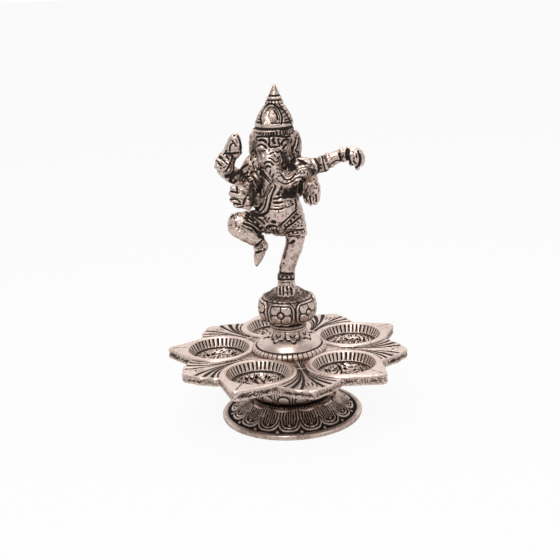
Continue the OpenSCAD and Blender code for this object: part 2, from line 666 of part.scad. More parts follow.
// A limb of the figure: a closed tube through its stations
module limb(shares, sides = limb_sides, steps = 1) {
    path = smoothed(shares * figure_h, steps);
    n = len(path);
    ends = [place(path[0]), place(path[n - 1])];
    points = concat([for (i = [0 : n - 1]) each limb_ring(path, i, sides)], ends);
    first = n * sides;
    polyhedron(points, concat(
        [for (i = [0 : n - 2], k = [0 : sides - 1])
            each [[i * sides + k, (i + 1) * sides + (k + 1) % sides, (i + 1) * sides + k],
                  [i * sides + k, i * sides + (k + 1) % sides, (i + 1) * sides + (k + 1) % sides]]],
        [for (k = [0 : sides - 1]) [first, (k + 1) % sides, k]],
        [for (k = [0 : sides - 1]) [first + 1, (n - 1) * sides + k, (n - 1) * sides + (k + 1) % sides]]));
}

// A raised band round part of a limb
module band(shares, span, sides = limb_sides) {
    limb([for (e = band_edge_shares)
              lifted(station(shares, span[0] + (span[1] - span[0]) * e[0]), e[1] * band_lift_share)],
         sides);
}

// A rounded lump of the figure
module lump(s, turn = 0) {
    translate(place(s) * figure_h) rotate(turn) scale([s[3], s[4], s[5]] * figure_h) sphere(r = 1, $fn = lump_fn);
}

// A finger or a toe: two balls in one skin
module digit(d) {
    hull() {
        translate(d[0] * figure_h) sphere(r = d[2] * figure_h, $fn = digit_fn);
        translate(d[1] * figure_h) sphere(r = d[3] * figure_h, $fn = digit_fn);
    }
}

module crown() {
    translate([crown_place_share[0], crown_place_share[1], 0] * figure_h)
        multmatrix([[1, 0, crown_slope, -crown_slope * crown_foot_share * figure_h], [0, 1, 0, 0], [0, 0, 1, 0]])
        rotate_extrude($fn = crown_fn)
            polygon(concat([[0, crown_shares[0][1] * figure_h]], sized(crown_shares, figure_h, figure_h),
                           [[0, figure_h]]));
}

module figure() {
    color(cast_metal)
    translate([0, 0, globe_top])
    difference() {
        union() {
            for (s = [torso_shares, head_shares]) limb(s, body_sides, limb_steps);
            limb(trunk_shares, limb_sides, limb_steps);
            for (s = [standing_leg_shares, thigh_shares, shin_shares, hanging_foot_shares]) limb(s);
            for (s = [raised_arm_shares, bent_arm_shares, long_arm_shares, low_arm_shares])
                limb(s, limb_sides, limb_steps);
            limb(bud_shares);
            limb(hair_shares);
            limb(sash_shares);
            band(standing_leg_shares, anklet_shares);
            band(standing_leg_shares, leg_hem_shares);
            band(hanging_foot_shares, hanging_anklet_shares);
            band(thigh_shares, knee_hem_shares);
            for (span = armlet_shares) band(long_arm_shares, span);
            band(long_arm_shares, bracelet_shares);
            band(torso_shares, belt_shares, body_sides);
            limb(medallion_shares);
            lump(buckle_shares);
            crown();
            lump(belly_shares);
            for (s = ear_shares) lump(s, s[6]);
            for (s = brow_shares) lump(s);
            for (s = cheek_shares) lump(s);
            lump(palm_shares);
            lump(low_palm_shares);
            lump(web_shares);
            lump(side_shares);
            lump(sweet_shares);
            lump(thumb_pad_shares);
            for (d = concat(finger_shares, low_finger_shares, fist_shares, long_finger_shares)) digit(d);
            for (d = toe_shares) digit(d);
            sole();
        }
        translate([0, 0, -figure_h]) cylinder(r = figure_h, h = figure_h, $fn = digit_fn);
        translate([0, 0, -overrun]) cylinder(r = bore_r, h = rod_grip + rod_gap + overrun, $fn = hole_fn);
    }
}

// The standing foot, from the heel to the balls of the toes
module sole() {
    hull() {
        translate([0, 0, heel_share] * figure_h) sphere(r = heel_share * figure_h, $fn = lump_fn);
        for (d = toe_shares) translate(d[0] * figure_h) sphere(r = ball_share * figure_h, $fn = lump_fn);
    }
}

module tie_rod() {
    color(plated_steel)
    translate([0, 0, rod_clear]) cylinder(r = rod_r, h = globe_top + rod_grip - rod_clear, $fn = round_fn);
}

module flat_washer() {
    color(plated_steel)
    translate([0, 0, washer_z]) difference() {
        cylinder(r = washer_r, h = washer_h, $fn = round_fn);
        translate([0, 0, -overrun]) cylinder(r = bore_r, h = washer_h + 2 * overrun, $fn = round_fn);
    }
}

module lock_washer() {
    color(plated_steel)
    translate([0, 0, lock_z]) difference() {
        cylinder(r = nut_flats / 2, h = lock_h, $fn = round_fn);
        translate([0, 0, -overrun]) cylinder(r = bore_r, h = lock_h + 2 * overrun, $fn = round_fn);
        translate([0, -lock_slit_w / 2, -overrun]) cube([nut_flats, lock_slit_w, lock_h + 2 * overrun]);
    }
}

module hex_nut() {
    color(plated_steel)
    translate([0, 0, nut_z]) difference() {
        cylinder(r = nut_flats / 2 / cos(30), h = nut_h, $fn = 6);
        translate([0, 0, -overrun]) cylinder(r = bore_r, h = nut_h + 2 * overrun, $fn = round_fn);
    }
}

foot();
stem_lotus();
diya_tray();
dome_collar();
neck_ring();
lotus_globe();
figure();
tie_rod();
flat_washer();
lock_washer();
hex_nut();
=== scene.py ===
# %% [markdown]
# # An aarti lamp in cast white metal
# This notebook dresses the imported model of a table-top aarti lamp: a lotus foot, a petal-shaped tray with
# five oil wells, a domed collar, a lotus globe and a dancing elephant-headed figure on top. The first cell
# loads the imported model, which stays where it is. Everything below is built in the same frame, in metres, so
# a new piece goes exactly where its solid is.

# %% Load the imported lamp
import math

import bpy
import numpy as np
from mathutils import Matrix, Vector


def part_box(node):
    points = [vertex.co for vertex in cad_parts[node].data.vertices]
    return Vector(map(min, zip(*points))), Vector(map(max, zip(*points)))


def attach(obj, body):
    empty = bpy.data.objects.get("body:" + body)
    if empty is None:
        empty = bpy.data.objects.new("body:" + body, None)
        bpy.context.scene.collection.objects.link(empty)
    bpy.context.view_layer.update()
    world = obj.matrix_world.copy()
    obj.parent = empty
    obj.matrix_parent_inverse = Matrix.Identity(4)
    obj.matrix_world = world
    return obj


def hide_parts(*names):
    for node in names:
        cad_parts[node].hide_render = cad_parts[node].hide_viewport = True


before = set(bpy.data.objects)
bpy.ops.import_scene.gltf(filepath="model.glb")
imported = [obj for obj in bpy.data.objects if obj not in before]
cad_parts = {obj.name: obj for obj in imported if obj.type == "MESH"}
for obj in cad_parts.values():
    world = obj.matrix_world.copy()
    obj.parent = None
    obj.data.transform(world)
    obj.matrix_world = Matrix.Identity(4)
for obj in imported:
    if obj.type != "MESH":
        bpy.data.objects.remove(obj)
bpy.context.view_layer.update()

MM = 0.001
print("nodes:", ", ".join(sorted(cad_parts)))

# %% [markdown]
# The heights of the stacked castings come from the frame, so the pieces below sit on the solids that they
# dress. Only the sizes inside each casting, such as the depth of a well, are written here, in millimetres.

# %% Heights and sizes in millimetres
def node_box(name):
    low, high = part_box(name)
    return np.array(low) / MM, np.array(high) / MM


FOOT_R, _, FOOT_TOP = node_box("foot")[1]
TRAY_UNDER = node_box("stem_lotus")[1][2]
TRAY_TOP = node_box("dome_collar")[0][2]
TRAY_WALL = TRAY_TOP - TRAY_UNDER
DOME_R, _, DOME_TOP = node_box("dome_collar")[1]
NECK_R, _, NECK_TOP = node_box("neck_ring")[1]
SOLE_Z = node_box("lotus_globe")[1][2]
FIGURE_H = node_box("figure")[1][2] - SOLE_Z
STEM_R = 20.8
GLOBE_R = 13.0
BORE_R = 2.15
print(f"tray at {TRAY_TOP:.1f} mm, globe from {NECK_TOP:.1f} to {SOLE_Z:.1f} mm,",
      f"figure {FIGURE_H:.1f} mm tall")

# %% [markdown]
# ## The camera
# The photograph looks slightly down on the lamp from the front, and the picture is turned by about three
# degrees. The camera is aimed at a point on the stem first, and then rolled about its own line of sight.

# %% Camera
CAMERA_TARGET = Vector((-2.74, 0, 64.44)) * MM
CAMERA_ELEVATION = math.radians(16.77)
CAMERA_ROLL = math.radians(2.87)
CAMERA_DISTANCE = 560 * MM
FOCAL_PX = 1246.5
FRAME_PX = 560
SENSOR_MM = 36

back = Vector((0, -math.cos(CAMERA_ELEVATION), math.sin(CAMERA_ELEVATION)))
level_right = Vector((1, 0, 0))
level_up = back.cross(level_right)
camera_right = math.cos(CAMERA_ROLL) * level_right - math.sin(CAMERA_ROLL) * level_up
camera_up = math.sin(CAMERA_ROLL) * level_right + math.cos(CAMERA_ROLL) * level_up
camera_place = CAMERA_TARGET + CAMERA_DISTANCE * back

bpy.ops.object.camera_add()
camera = bpy.context.object
camera.name = "photo_camera"
camera.data.sensor_width = SENSOR_MM
camera.data.lens = SENSOR_MM * FOCAL_PX / FRAME_PX
axes = zip(camera_right, camera_up, back, camera_place)
camera.matrix_world = Matrix([*axes, (0, 0, 0, 1)])
bpy.context.scene.camera = camera
bpy.context.scene.view_settings.view_transform = "Standard"
print(f"lens {camera.data.lens:.1f} mm at {CAMERA_DISTANCE / MM:.0f} mm")

# %% [markdown]
# ## Floor, backdrop and light
# The lamp stands on plain white paper with a white backdrop behind it and a dimmer room in front, as in a
# small photo tent. The paper and the world look clean white to the camera, while the light on the castings
# stays at a plain level from large soft lamps, so they keep their darks.

# %% Floor and backdrop
WHITE = (1, 1, 1, 1)
PAPER_TONE = (0.88, 0.88, 0.88, 1)
PAPER_SEEN, PAPER_ON_METAL = 0.93, 0.35
ROOM_LIGHT = 0.35
BACKDROP_EDGE = (-0.1, 0.5)
FLOOR_M = 6


def add_node(tree, kind, **constants):
    """A new node. Each constant goes on the socket of its name, which has a space for each underscore."""
    node = tree.nodes.new("ShaderNode" + kind)
    for name, value in constants.items():
        node.inputs[name.replace("_", " ")].default_value = value
    return node


def math_node(tree, operation, *values):
    """The result of a sum on two values, each a socket or a constant."""
    node = add_node(tree, "Math")
    node.operation = operation
    for socket, value in zip(node.inputs, values):
        if isinstance(value, (int, float)):
            socket.default_value = value
        else:
            tree.links.new(value, socket)
    return node.outputs[0]


def map_range(tree, value, from_min, from_max, to_min=0, to_max=1):
    node = add_node(tree, "MapRange", From_Min=from_min, From_Max=from_max, To_Min=to_min, To_Max=to_max)
    tree.links.new(value, node.inputs["Value"])
    return node.outputs[0]


def seen_share(tree, camera_share, metal_share):
    """How white the backdrop is for rays from the camera or through glass, and for rays off metal."""
    seen = add_node(tree, "LightPath").outputs
    camera, glass, metal = (math_node(tree, "MULTIPLY", seen[f"Is {kind} Ray"], share) for kind, share in
                            (("Camera", camera_share), ("Transmission", camera_share),
                             ("Glossy", metal_share)))
    return math_node(tree, "MAXIMUM", math_node(tree, "MAXIMUM", camera, glass), metal)


def new_tree(owner):
    """The empty node tree of a new material or world."""
    owner.use_nodes = True
    owner.node_tree.nodes.clear()
    return owner.node_tree


def put_out(tree, kind, share, first, second):
    """Sends a mix of two shaders to the output."""
    mix = add_node(tree, "MixShader")
    for socket, value in zip(mix.inputs, (share, first.outputs[0], second.outputs[0])):
        tree.links.new(value, socket)
    tree.links.new(mix.outputs[0], add_node(tree, "Output" + kind).inputs["Surface"])


# %% White paper under the lamp
paper = bpy.data.materials.new("white_paper")
tree = new_tree(paper)
put_out(tree, "Material", seen_share(tree, PAPER_SEEN, PAPER_ON_METAL),
        add_node(tree, "BsdfDiffuse", Color=PAPER_TONE),
        add_node(tree, "Emission", Color=WHITE, Strength=1))
bpy.ops.object.select_all(action="DESELECT")
bpy.ops.mesh.primitive_plane_add(size=FLOOR_M)
floor = bpy.context.object
floor.name = "paper_floor"
floor.data.materials.append(paper)

# %% Studio round the lamp
world = bpy.data.worlds.new("studio_world")
bpy.context.scene.world = world
tree = new_tree(world)
split = add_node(tree, "SeparateXYZ")
tree.links.new(add_node(tree, "TexCoord").outputs["Generated"], split.inputs[0])
behind = map_range(tree, split.outputs["Y"], *BACKDROP_EDGE)
put_out(tree, "World", seen_share(tree, 1, behind),
        add_node(tree, "Background", Color=WHITE, Strength=ROOM_LIGHT),
        add_node(tree, "Background", Color=WHITE, Strength=1))


# %% Soft lamps
def soft_lamp(name, place_mm, size_mm, power):
    """A square area lamp that faces the middle of the object."""
    bpy.ops.object.light_add(type="AREA", location=Vector(place_mm) * MM)
    lamp = bpy.context.object
    lamp.name = name
    lamp.data.size = size_mm * MM
    lamp.data.energy = power
    aim = CAMERA_TARGET - lamp.location
    lamp.rotation_euler = aim.to_track_quat("-Z", "Y").to_euler()


for lamp in (("key_lamp", (-120, -400, 560), 300, 1.9), ("fill_lamp", (480, -380, 260), 260, 0.35),
             ("top_lamp", (40, 120, 620), 420, 0.9)):
    soft_lamp(*lamp)

# %% [markdown]
# ## Antique silver
# The castings are pale warm metal, polished on the high spots, with dark brown patina left in every recess.
# Each piece carries an attribute called patina, from 0 on a worn ridge to 1 in a deep groove, which is worked
# out from its own shape. On the figure and the stem it also holds painted shade: broad dark patches where
# shade falls, the figure's downward faces and the stem under the tray. The material mixes the colour of clean
# metal with the colour of the patina by that attribute, and noise in Object coordinates breaks the edge
# between them up, as hand polishing does.

# %% Antique silver material
GRAIN_SCALE, CLOUD_SCALE = 900, 120
CLEAN_METAL = (0.475, 0.36, 0.305, 1)
WORN_METAL = (0.79, 0.635, 0.565, 1)
DULL_METAL = (0.125, 0.086, 0.066, 1)
PATINA = (0.016, 0.0090, 0.0055, 1)
MIDDLE_OF_NOISE = (0.3, 0.7)


def antique_silver(name):
    """Cast metal with patina in its recesses."""
    material = bpy.data.materials.new(name)
    tree = new_tree(material)
    link = tree.links.new
    shader = add_node(tree, "BsdfPrincipled")
    link(shader.outputs[0], add_node(tree, "OutputMaterial").inputs["Surface"])
    place = add_node(tree, "TexCoord").outputs["Object"]
    recess = add_node(tree, "Attribute")
    recess.attribute_name = "patina"
    grain = add_node(tree, "TexNoise", Scale=GRAIN_SCALE, Detail=4)
    cloud = add_node(tree, "TexNoise", Scale=CLOUD_SCALE, Detail=5)
    # The patina attribute with noise: patina, and on the figure and the stem painted shade as well.
    patina_and_shade = recess.outputs["Fac"]
    for noise, low, high in ((grain, -0.16, 0.16), (cloud, -0.10, 0.14)):
        link(place, noise.inputs["Vector"])
        shift = map_range(tree, noise.outputs["Fac"], *MIDDLE_OF_NOISE, low, high)
        patina_and_shade = math_node(tree, "ADD", patina_and_shade, shift)
    patina_and_shade.node.use_clamp = True

    tone = add_node(tree, "ValToRGB")
    steps = tone.color_ramp.elements
    steps[0].position, steps[0].color = 0.04, WORN_METAL
    steps[1].position, steps[1].color = 0.74, PATINA
    steps.new(0.26).color = CLEAN_METAL
    steps.new(0.48).color = DULL_METAL
    link(patina_and_shade, tone.inputs["Fac"])
    link(tone.outputs["Color"], shader.inputs["Base Color"])
    link(map_range(tree, patina_and_shade, 0.35, 0.85, 1.0, 0.25), shader.inputs["Metallic"])
    link(map_range(tree, patina_and_shade, 0.0, 0.8, 0.37, 0.72), shader.inputs["Roughness"])
    bump = add_node(tree, "Bump", Strength=0.35, Distance=0.0001)
    link(grain.outputs["Fac"], bump.inputs["Height"])
    link(bump.outputs["Normal"], shader.inputs["Normal"])
    return material


SILVER = antique_silver("antique_silver_finish")
print("material:", SILVER.name)

# %% [markdown]
# ## Sheets of metal with relief
# The round castings are turned shapes covered in low relief: petals, flutes, panels and beads. A real pattern
# maker turns the body first and then carves it. The same is done here: a flat grid is added with an operator,
# wrapped round the axis along a turned profile, and every point is then pushed in or out along its normal by
# a height that is a plain formula of the angle and of the distance along the profile. Modelling each petal by
# hand would take longer and would not give the sunk lines their even depth. The profile is a list of radii
# and heights, and the relief function returns a height in millimetres and a patina.

# %% Soft steps, ridges and folds
TINY = 1e-9


def smooth_step(x, low, high):
    t = np.clip((x - low) / (high - low), 0, 1)
    return t * t * (3 - 2 * t)


def ridge(distance, width):
    """1 on a line and 0 beyond its half width, with a round top."""
    return np.clip(1 - (distance / width) ** 2, 0, 1)


def dome(distance, radius):
    """The height of a half ball, as a share of its radius."""
    return np.sqrt(np.clip(1 - (distance / radius) ** 2, 0, 1))


def fold(angle, count, turn=0.0):
    """The signed angle from the nearest of so many evenly spaced directions."""
    pitch = 2 * math.pi / count
    return (angle - turn + pitch / 2) % pitch - pitch / 2


# %% Selecting and modifiers
def deselect():
    bpy.ops.object.select_all(action="DESELECT")


def make_active(piece):
    deselect()
    piece.select_set(True)
    bpy.context.view_layer.objects.active = piece


def apply_modifier(piece, kind, **settings):
    make_active(piece)
    modifier = piece.modifiers.new(kind.lower(), kind)
    for key, value in settings.items():
        setattr(modifier, key, value)
    bpy.ops.object.modifier_apply(modifier=modifier.name)


# %% [markdown]
# A piece starts as a grid of many columns and rows, because crisp relief needs many points. Afterwards the
# flat parts have more points than they need, so a Decimate modifier takes them out again until the piece is
# below 200,000 triangles, which keeps the meshes small. One table gives the columns and rows of the
# turned pieces, and the other gives the triangles of every piece that is thinned.

# %% Columns, rows and triangles
GRIDS = {"lotus_foot": (704, 200), "scalloped_skirt": (396, 150), "lotus_stem": (512, 130),
         "dome_collar_casting": (616, 130), "neck_ring_casting": (440, 50), "lotus_globe_casting": (540, 170),
         "tall_crown": (464, 340)}
TRIANGLES = {"lotus_foot": 165_000, "scalloped_skirt": 70_000, "lotus_stem": 85_000,
             "dome_collar_casting": 95_000, "neck_ring_casting": 24_000, "lotus_globe_casting": 125_000,
             "oil_well": 103_000, "fan_leaf": 97_000, "tray_plate": 75_000, "tall_crown": 145_000,
             "dancing_figure": 195_000}


def thin(piece):
    """Takes points from the flattest parts of a piece until about its number of triangles is left."""
    piece.data.calc_loop_triangles()
    before = len(piece.data.loop_triangles)
    apply_modifier(piece, "DECIMATE", ratio=TRIANGLES[piece.name] / before)
    piece.data.calc_loop_triangles()
    print(f"{piece.name}: {before} triangles thinned to {len(piece.data.loop_triangles)}")


# %% Flat grids
def sheet(name, columns, rows):
    """A flat grid, with each point's place on it from 0 to 1 both ways."""
    deselect()
    bpy.ops.mesh.primitive_grid_add(x_subdivisions=columns, y_subdivisions=rows, size=1)
    piece = bpy.context.object
    piece.name = name
    places = read_values(piece, "co")
    return piece, places[:, 0] + 0.5, places[:, 1] + 0.5


# %% Points and patina
def read_values(piece, what):
    """The places in metres, or the normals, of a piece's points."""
    values = np.empty(len(piece.data.vertices) * 3)
    piece.data.vertices.foreach_get(what, values)
    return values.reshape(-1, 3)


def read_points(piece):
    """The points of a piece in millimetres, and their normals."""
    return read_values(piece, "co") / MM, read_values(piece, "normal")


def move_points(piece, points_mm):
    piece.data.vertices.foreach_set("co", (points_mm * MM).ravel())
    piece.data.update()


def read_patina(piece):
    patina = np.empty(len(piece.data.vertices), dtype=np.float32)
    piece.data.attributes["patina"].data.foreach_get("value", patina)
    return patina


def set_patina(piece, patina):
    layers = piece.data.attributes
    layer = layers.get("patina") or layers.new("patina", "FLOAT", "POINT")
    layer.data.foreach_set("value", np.clip(patina, 0, 1).astype(np.float32))


# %% Closing a sheet
SEAM = 0.004


def merge_points(piece, distance_mm):
    make_active(piece)
    bpy.ops.object.mode_set(mode="EDIT")
    bpy.ops.mesh.select_all(action="SELECT")
    bpy.ops.mesh.remove_doubles(threshold=distance_mm * MM)
    bpy.ops.mesh.normals_make_consistent(inside=False)
    bpy.ops.object.mode_set(mode="OBJECT")
    bpy.ops.object.shade_smooth()


def close(piece, points_mm, patina):
    """Wraps a sheet and joins its two edges, and the points that meet on the axis."""
    move_points(piece, points_mm)
    set_patina(piece, patina)
    merge_points(piece, SEAM)
    print(f"{piece.name}: {len(piece.data.vertices)} points")
    return piece


# %% Turned pieces
CORNER_SOFTNESS = 0.25
ON_AXIS = 1e-6


def along(profile, share):
    """Points and outward normals at shares of the length of a profile of (radius, height) points."""
    line = np.array(profile, dtype=float)
    steps = np.linalg.norm(np.diff(line, axis=0), axis=1)
    reach = np.concatenate([[0], np.cumsum(steps)])
    at = share * reach[-1]
    radius = np.interp(at, reach, line[:, 0])
    height = np.interp(at, reach, line[:, 1])
    before, after = (np.clip(at + side * CORNER_SOFTNESS, 0, reach[-1]) for side in (-1, 1))
    dr, dz = (np.interp(after, reach, line[:, k]) - np.interp(before, reach, line[:, k]) for k in (0, 1))
    size = np.hypot(dr, dz) + TINY
    return radius, height, dz / size, -dr / size, at


def length(line):
    return sum(math.dist(a, b) for a, b in zip(line, line[1:]))


def scaled(shares, radius, low, height):
    """A profile from shares of its greatest radius and of its height over its lowest ring."""
    return [(radius * r, low + height * z) for r, z in shares]


def turned(name, profile, relief):
    """A turned piece with relief: profile runs from the axis below to the axis above."""
    piece, u, v = sheet(name, *GRIDS[name])
    radius, height, out_r, out_z, at = along(profile, v)
    angle = 2 * math.pi * u
    lift, patina = relief(angle, radius, height, at)
    lift = np.where(radius < ON_AXIS, 0, lift)
    r = radius + out_r * lift
    points = np.stack([r * np.cos(angle), r * np.sin(angle), height + out_z * lift], axis=1)
    return close(piece, points, patina)


# %% Material, slot and body
def dress(piece, *nodes):
    """Gives a finished piece its material and its body, and hides the nodes that it stands for."""
    piece.data.materials.clear()
    piece.data.materials.append(SILVER)
    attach(piece, "root")
    for node in nodes:
        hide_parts(node)


# %% [markdown]
# ## Worn ridges and dark recesses
# Polishing wears the ridges bright and leaves patina in the hollows. A few rounds of averaging each point
# with its neighbours give a smoothed copy of the surface: a point that lies under it is in a hollow, and one
# that stands above it is on a ridge. Two copies, smoothed a little and a lot, find fine grooves and broad
# hollows.

# %% Patina from the shape
FINE_GAIN, FINE_RANGE = 9, (-0.02, 0.08)
BROAD_GAIN, BROAD_RANGE = 0.9, (-0.10, 0.6)


def smoothed_copies(points, mesh, rounds):
    """The points of a mesh after each of the given numbers of averaging rounds."""
    count = len(points)
    ends = np.empty(len(mesh.edges) * 2, dtype=np.int64)
    mesh.edges.foreach_get("vertices", ends)
    ends = ends.reshape(-1, 2)
    a = np.concatenate([ends[:, 0], ends[:, 1]])
    b = np.concatenate([ends[:, 1], ends[:, 0]])
    degree = np.maximum(np.bincount(a, minlength=count), 1)
    copies = []
    for step in range(1, max(rounds) + 1):
        points = [np.bincount(a, weights=points[b, k], minlength=count) / degree for k in range(3)]
        points = np.stack(points, axis=1)
        if step in rounds:
            copies.append(points)
    return copies


def add_wear(piece, fine=1.0, broad=1.0, rounds=(4, 40)):
    """Adds the hollows to a piece's patina and takes the ridges from it."""
    points, normals = read_points(piece)
    near, far = (((copy - points) * normals).sum(axis=1)
                 for copy in smoothed_copies(points, piece.data, rounds))
    set_patina(piece, read_patina(piece) + fine * FINE_GAIN * np.clip(near, *FINE_RANGE)
               + broad * BROAD_GAIN * np.clip(far, *BROAD_RANGE))


def finish_piece(piece, *nodes, **wear):
    add_wear(piece, **wear)
    thin(piece)
    dress(piece, *nodes)


# %% Rough casting
WAVES, WAVE_SUM = 14, 3.7


def rough(points, scale, seed):
    """A sum of waves in seeded directions: the uneven face that sand leaves on a casting."""
    rng = np.random.default_rng(seed)
    total = np.zeros(len(points))
    for k in range(WAVES):
        direction = rng.normal(size=3)
        direction /= np.linalg.norm(direction)
        waves = points @ direction * (2 * math.pi / scale) * rng.uniform(0.6, 1.6)
        total += np.sin(waves + rng.uniform(0, 6.28))
    return total / WAVE_SUM


# %% [markdown]
# ## The lotus foot
# The foot is a hollow casting with a plain rounded rim. Sixteen lotus petals lie round its slope, each with a
# raised border, fine ribs and a small leaf, and little beads sit between their ends. Above them runs a
# scalloped skirt.

# %% Lotus foot
FOOT_PETALS = 16
FOOT_TURN = math.radians(-94)
FOOT_RIM_W = 3.4
FOOT_WALL = 2.4
SEAT_WALL = 2.6
BOSS_R = 7.0
BOSS_Z = node_box("flat_washer")[1][2]
PETAL_END_R = FOOT_R * 0.878
PETAL_TOP_R = FOOT_R * 0.56
SKIRT_R = FOOT_R * 0.665
SKIRT_LOBES = 11
SKIRT_TURN = math.radians(-88)
PETAL_BEND = 2.7
RIM_DARK = 0.36


def foot_relief(angle, radius, height, at):
    outside = height >= 0
    across = fold(angle, FOOT_PETALS, FOOT_TURN) * radius
    half = radius * math.sin(math.pi / FOOT_PETALS) * 0.97
    end_half = PETAL_END_R * math.sin(math.pi / FOOT_PETALS) * 0.97
    past = np.maximum(radius - (PETAL_END_R - end_half), 0)
    round_end = (past ** PETAL_BEND + np.abs(across) ** PETAL_BEND) ** (1 / PETAL_BEND)
    inside = np.where(past > 0, end_half - round_end, half - np.abs(across))
    on_slope = (radius > PETAL_TOP_R) & (radius < FOOT_R * 0.905) & (height > FOOT_RIM_W * 0.4) & outside
    border = ridge(inside - 0.50, 0.48)
    gap = 1 - smooth_step(inside, -0.25, 0.12)
    channel = ridge(inside - 1.22, 0.34)
    inner = ridge(inside - 1.80, 0.36)
    rib = np.cos(across / 1.05 * 2 * math.pi)
    ribbed = (inside > 2.3) & (radius < PETAL_END_R - 3.4)
    leaf = ridge(np.hypot(across, (radius - PETAL_END_R + 3.1) * 0.8), 0.62)
    lift = 0.55 * border - 0.6 * gap - 0.30 * channel + 0.38 * inner + 0.26 * rib * ribbed + 0.35 * leaf
    dark = RIM_DARK + 0.26 * gap + 0.42 * channel - 0.46 * border - 0.30 * inner - 0.30 * leaf
    dark = dark + ribbed * (0.14 - 0.30 * rib)
    lift = np.where(on_slope, lift, 0)
    dark = np.where(on_slope, dark, RIM_DARK)
    between = fold(angle, FOOT_PETALS, FOOT_TURN + math.pi / FOOT_PETALS) * radius
    bead = dome(np.hypot(between, radius - FOOT_R * 0.868), 0.85) * outside
    lift = lift + 0.75 * bead
    dark = dark - 0.5 * bead
    groove = ridge(radius - FOOT_R * 0.903, 1.05) * outside * (height > 1)
    lift = lift - 0.25 * groove * (bead < 0.1)
    dark = np.where((groove > 0) & (bead < 0.1), 0.34 + 0.12 * groove, dark)
    hollow = (radius < FOOT_R - FOOT_RIM_W + 0.1) & (at < HOLLOW_LENGTH)
    under = np.where(height < 0.05, 0.35, 0)
    return lift, np.where(hollow, 0.60, dark) + under


FACE_SHARES = ((0, 1), (0.47, 1), (0.5, 0.87), (0.56, 0.87), (0.62, 0.80), (0.68, 0.62), (0.76, 0.42),
               (0.84, 0.27), (0.885, 0.19), (0.905, 0.165), (0.93, 0.22), (0.96, 0.235), (0.985, 0.205),
               (0.999, 0.15), (1, 0.08), (0.992, 0.02), (0.98, 0))
foot_face = scaled(FACE_SHARES, FOOT_R, 0, FOOT_TOP)
foot_under = [(FOOT_R - FOOT_RIM_W, 0), (FOOT_R - FOOT_RIM_W, FOOT_TOP * 0.05),
              (FOOT_R * 0.76, FOOT_TOP * 0.42 - FOOT_WALL), (FOOT_R * 0.66, FOOT_TOP * 0.62 - FOOT_WALL),
              (FOOT_R * 0.54, FOOT_TOP - SEAT_WALL), (BOSS_R, FOOT_TOP - SEAT_WALL), (BOSS_R, BOSS_Z),
              (BORE_R, BOSS_Z), (BORE_R, FOOT_TOP - 1), (0, FOOT_TOP - 1)]
HOLLOW_LENGTH = length(foot_face[-1:] + foot_under)
foot = turned("lotus_foot", (foot_face + foot_under)[::-1], foot_relief)
finish_piece(foot, "foot")

# %% Scalloped skirt over the petals
def skirt_relief(angle, radius, height, at):
    side = fold(angle, SKIRT_LOBES, SKIRT_TURN + math.pi / SKIRT_LOBES) * radius
    scallop = np.abs(np.sin(SKIRT_LOBES * (angle - SKIRT_TURN) / 2))
    out = (1 - scallop ** 0.7) * 2.0 * smooth_step(radius, SKIRT_R * 0.6, SKIRT_R)
    depth = SKIRT_R - out - radius
    face = height > skirt_z + 0.6
    border = ridge(depth - 0.55, 0.62)
    hollow = smooth_step(depth, 1.0, 1.5)
    stalk = ridge(side, 0.35) * (depth > 1.5) + ridge(np.hypot(np.abs(side) - 1.7, depth - 2.7), 0.8)
    bud = dome(np.hypot(side, depth - 1.9), 0.75)
    dark = 0.30 - 0.30 * border + 0.56 * hollow - 0.55 * np.clip(stalk + bud, 0, 1)
    return (np.where(face, -out + 0.35 * border - 0.45 * hollow + 0.40 * stalk + 0.60 * bud, -out),
            np.where(face, dark, 0.25))


skirt_z = FOOT_TOP * 0.74
skirt_edge = ((0, -SKIRT_R), (0, -0.8), (0.3, -0.1), (0.7, 0), (1.15, -0.5), (1.3, -1.3),
              (1.5, SKIRT_R * -0.22), (1.5, -SKIRT_R))
skirt_profile = [(SKIRT_R + out, skirt_z + up) for up, out in skirt_edge]
skirt = turned("scalloped_skirt", skirt_profile, skirt_relief)
finish_piece(skirt, "foot")

# %% [markdown]
# ## The lotus stem
# The stem is a squat lotus bud between the foot and the tray. A ring of round petals hangs round it, each
# with a dark eye, and small beads fill the gaps between them.

# %% Lotus stem
STEM_PETALS = 16
STEM_TURN = math.radians(-78.5)
STEM_H = TRAY_UNDER - FOOT_TOP
EYE_UP = 7.0
PETAL_END = 3.85


def stem_relief(angle, radius, height, at):
    z = height - FOOT_TOP
    up = at - STEM_R * 0.65
    side = fold(angle, STEM_PETALS, STEM_TURN) * radius
    half = radius * math.sin(math.pi / STEM_PETALS) * 0.97
    to_eye = np.hypot(side, up - EYE_UP)
    inside = np.where(up < EYE_UP, PETAL_END - to_eye, half - np.abs(side))
    band = (up > 0.4) & (z < 0.66 * STEM_H)
    border = ridge(inside - 0.45, 0.48) * band
    gap = (1 - smooth_step(inside, -0.25, 0.15)) * band
    eye = dome(to_eye, 2.55) * band
    eye_ring = ridge(to_eye - 2.85, 0.42) * band
    rib = np.cos(side / 1.2 * 2 * math.pi) * (inside > 1.1) * (up > EYE_UP + 3.0) * band
    between = fold(angle, STEM_PETALS, STEM_TURN + math.pi / STEM_PETALS) * radius
    bead = dome(np.hypot(between, up - 4.2), 0.85) * band
    rings = ridge((z - 0.74 * STEM_H), 0.7) + ridge(z - 0.88 * STEM_H, 0.6)
    lift = 0.5 * border - 0.7 * gap + 0.30 * eye - 0.35 * eye_ring + 0.9 * bead + 0.4 * rings + 0.15 * rib
    dark = 0.26 + 0.5 * gap + 0.62 * eye_ring - 0.35 * border - 0.35 * bead - 0.22 * eye - 0.12 * rib
    # Above the petals, under the tray, the stem is darker: patina, and painted shade from the tray above.
    return lift, dark + 0.25 * (z > 0.66 * STEM_H)


